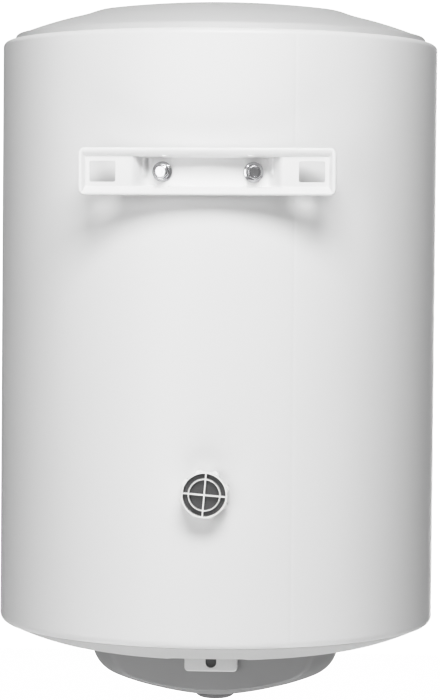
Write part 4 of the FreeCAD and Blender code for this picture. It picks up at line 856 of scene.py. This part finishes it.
def cap():
    """Shallow dished cap with a D-shaped service opening, relieved over the cable entry plate."""
    edge, ring, flat = (CAP_RADIUS, BASE - 0.7 * MM), (130 * MM, -484 * MM), (60 * MM, -487.2 * MM)
    dish = [ring, *arc(ring, edge, DISH_ARC, 24)]
    angles = [TURN * k / CAP_SEGMENTS for k in range(CAP_SEGMENTS)]

    def point(r, a, h):
        x, y = r * math.cos(a), r * math.sin(a)
        relief = ENTRY_RELIEF * ramp(abs(x), *RELIEF_SIDES) * ramp(r, *RELIEF_END) if y > 0 else 0
        return AXIS.x + x, AXIS.y + y, h + relief

    rows = []
    for share in (0, 0.12, 0.3, 0.5, 0.7, 0.85, 1):
        row = []
        for a in angles:
            inner = OPENING_RADIUS
            if math.sin(a) > 0.1:
                inner = min(inner, OPENING_FLAT / math.sin(a))
            r = lerp(inner, ring[0], share)
            row.append(point(r, a, lerp(flat[1], ring[1], (r - flat[0]) / (ring[0] - flat[0]))))
        rows.append(row)
    for r, h in dish[1:] + [(CAP_RADIUS, BASE + CAP_LAP)]:
        rows.append([point(r, a, h) for a in angles])
    bm = bmesh.new()
    skin_rows(bm, rows)
    return thicken(to_object("cap", bm), CAP_SHEET)


place_piece(cap(), "casing", MATERIALS["cap_plastic"], "cap_plastic", "bottom_cap")


# ---------------------------------------------------------------- camera
CAMERA_PLACE = Vector((-138.2 * MM, 2528.2 * MM, -78.3 * MM))
CAMERA_YAW, CAMERA_PITCH, CAMERA_ROLL = (math.radians(a) for a in (2.81, 2.07, 0.50))
CAMERA_LENS, CAMERA_SENSOR = 136.76, 36      # in millimetres


def camera():
    """Long lens behind the heater, a little to its left and just below the bracket."""
    forward = Vector((math.sin(CAMERA_YAW) * math.cos(CAMERA_PITCH),
                      -math.cos(CAMERA_YAW) * math.cos(CAMERA_PITCH), -math.sin(CAMERA_PITCH)))
    right = Vector((-math.cos(CAMERA_YAW), -math.sin(CAMERA_YAW), 0))
    up = right.cross(forward)
    across = right * math.cos(CAMERA_ROLL) + up * math.sin(CAMERA_ROLL)
    upward = up * math.cos(CAMERA_ROLL) - right * math.sin(CAMERA_ROLL)
    data = bpy.data.cameras.new("camera")
    data.lens, data.sensor_width = CAMERA_LENS, CAMERA_SENSOR
    data.clip_end = 100
    seen = bpy.data.objects.new("camera", data)
    axes = Matrix((across, upward, -forward)).transposed().to_4x4()
    seen.matrix_world = Matrix.Translation(CAMERA_PLACE) @ axes
    bpy.context.scene.collection.objects.link(seen)
    bpy.context.scene.camera = seen


camera()


# ---------------------------------------------------------------- floor, light and tone
AMBIENT, MIRRORED = 0.09, 0.48      # light of the surroundings on paint, and as chrome reflects it
TONE_WHITE = 3.0                    # scene light that prints as full white
TONE = ((0.10, 0.10), (0.30, 0.30), (0.546, 0.539), (0.702, 0.651), (0.905, 0.761), (1.13, 0.831),
        (1.5, 0.91), (2.2, 1.0))
FLOOR_DROP, FLOOR_SIZE = 6.0, 40    # in metres; this far down it stays out of views from a little below


def area_light(name, place, target, width, height, power):
    """Rectangular lamp of so many watts, turned to a target."""
    data = bpy.data.lights.new(name, "AREA")
    data.shape, data.size, data.size_y, data.energy = "RECTANGLE", width, height, power
    lamp = bpy.data.objects.new(name, data)
    lamp.location = place
    lamp.rotation_euler = (target - place).to_track_quat("-Z", "Y").to_euler()
    bpy.context.scene.collection.objects.link(lamp)


def studio():
    """White surroundings; key, fill, bounce and low lamps on the wall side, two beneath, and a front pair."""
    world = bpy.data.worlds.new("studio")
    bpy.context.scene.world = world
    world.use_nodes = True
    nodes, links = world.node_tree.nodes, world.node_tree.links
    lighting = nodes["Background"]
    lighting.inputs["Color"].default_value = (1, 1, 1, 1)
    lighting.inputs["Strength"].default_value = AMBIENT
    seen = nodes.new("ShaderNodeLightPath")
    shown = lighting.outputs["Background"]
    for ray, strength in (("Is Glossy Ray", MIRRORED), ("Is Camera Ray", TONE_WHITE)):
        backdrop = nodes.new("ShaderNodeBackground")
        backdrop.inputs["Strength"].default_value = strength
        choice = nodes.new("ShaderNodeMixShader")
        links.new(seen.outputs[ray], choice.inputs["Fac"])
        links.new(shown, choice.inputs[1])
        links.new(backdrop.outputs["Background"], choice.inputs[2])
        shown = choice.outputs["Shader"]
    links.new(shown, nodes["World Output"].inputs["Surface"])
    middle = Vector((0, AXIS.y, -0.18))
    area_light("key", middle + Vector((-0.24, 1.62, 1.48)), middle, 1.2, 0.8, 47)
    area_light("fill", middle + Vector((1.25, 3.0, 0.1)), middle, 1.4, 1.8, 28)
    area_light("bounce", middle + Vector((0, 1.3, -2.0)), middle, 1.8, 1.2, 25)
    area_light("low_left", middle + Vector((2.4, 0.8, -1.4)), middle, 0.8, 0.8, 3)
    area_light("low_right", middle + Vector((-2.4, 0.8, -1.2)), middle, 0.8, 0.8, 5)
    beneath = Vector((0, AXIS.y, cover_high.z))
    area_light("under_left", beneath + Vector((0.30, 0.02, -0.55)), beneath, 0.3, 0.2, 0.8)
    area_light("under_right", beneath + Vector((-0.30, 0.02, -0.55)), beneath, 0.3, 0.2, 0.9)
    area_light("side_fill", middle + Vector((3.0, 0.9, 1.0)), middle, 0.8, 1.6, 7)
    area_light("front_key", middle + Vector((0.25, -1.5, 2.5)), middle, 0.9, 0.9, 8)
    area_light("front_fill", middle + Vector((-0.2, -3.2, -0.2)), middle, 1.6, 1.8, 90)


def floor():
    """Pale floor well below the heater, which hangs on a wall in use."""
    bm = bmesh.new()
    bmesh.ops.create_grid(bm, x_segments=8, y_segments=8, size=FLOOR_SIZE)
    ground = to_object("floor", bm)
    ground.location = (0, 0, BASE - FLOOR_DROP)
    ground.visible_diffuse = ground.visible_glossy = False
    material, nodes, links, shader = node_tree("floor")
    where = nodes.new("ShaderNodeTexCoord").outputs["Object"]
    clouds = ranged(nodes, links, noise(nodes, links, where, 2.0), 0, 1)
    links.new(tinted(nodes, links, clouds, (0.9,) * 3, (0.93,) * 3), shader.inputs["Base Color"])
    shader.inputs["Roughness"].default_value = 0.7
    shader.inputs["Emission Color"].default_value = (1, 1, 1, 1)
    shader.inputs["Emission Strength"].default_value = TONE_WHITE
    ground.data.materials.append(material)


def tone():
    """Plain transform with a soft shoulder, so that white paint keeps its shading."""
    look = bpy.context.scene.view_settings
    look.view_transform = "Standard"
    look.use_curve_mapping = True
    mapping = look.curve_mapping
    mapping.white_level = (TONE_WHITE,) * 3
    curve = mapping.curves[3]
    curve.points[1].location = (1, 1)
    for light, printed in TONE:
        curve.points.new(light / TONE_WHITE, printed)
    mapping.update()


studio()
floor()
tone()
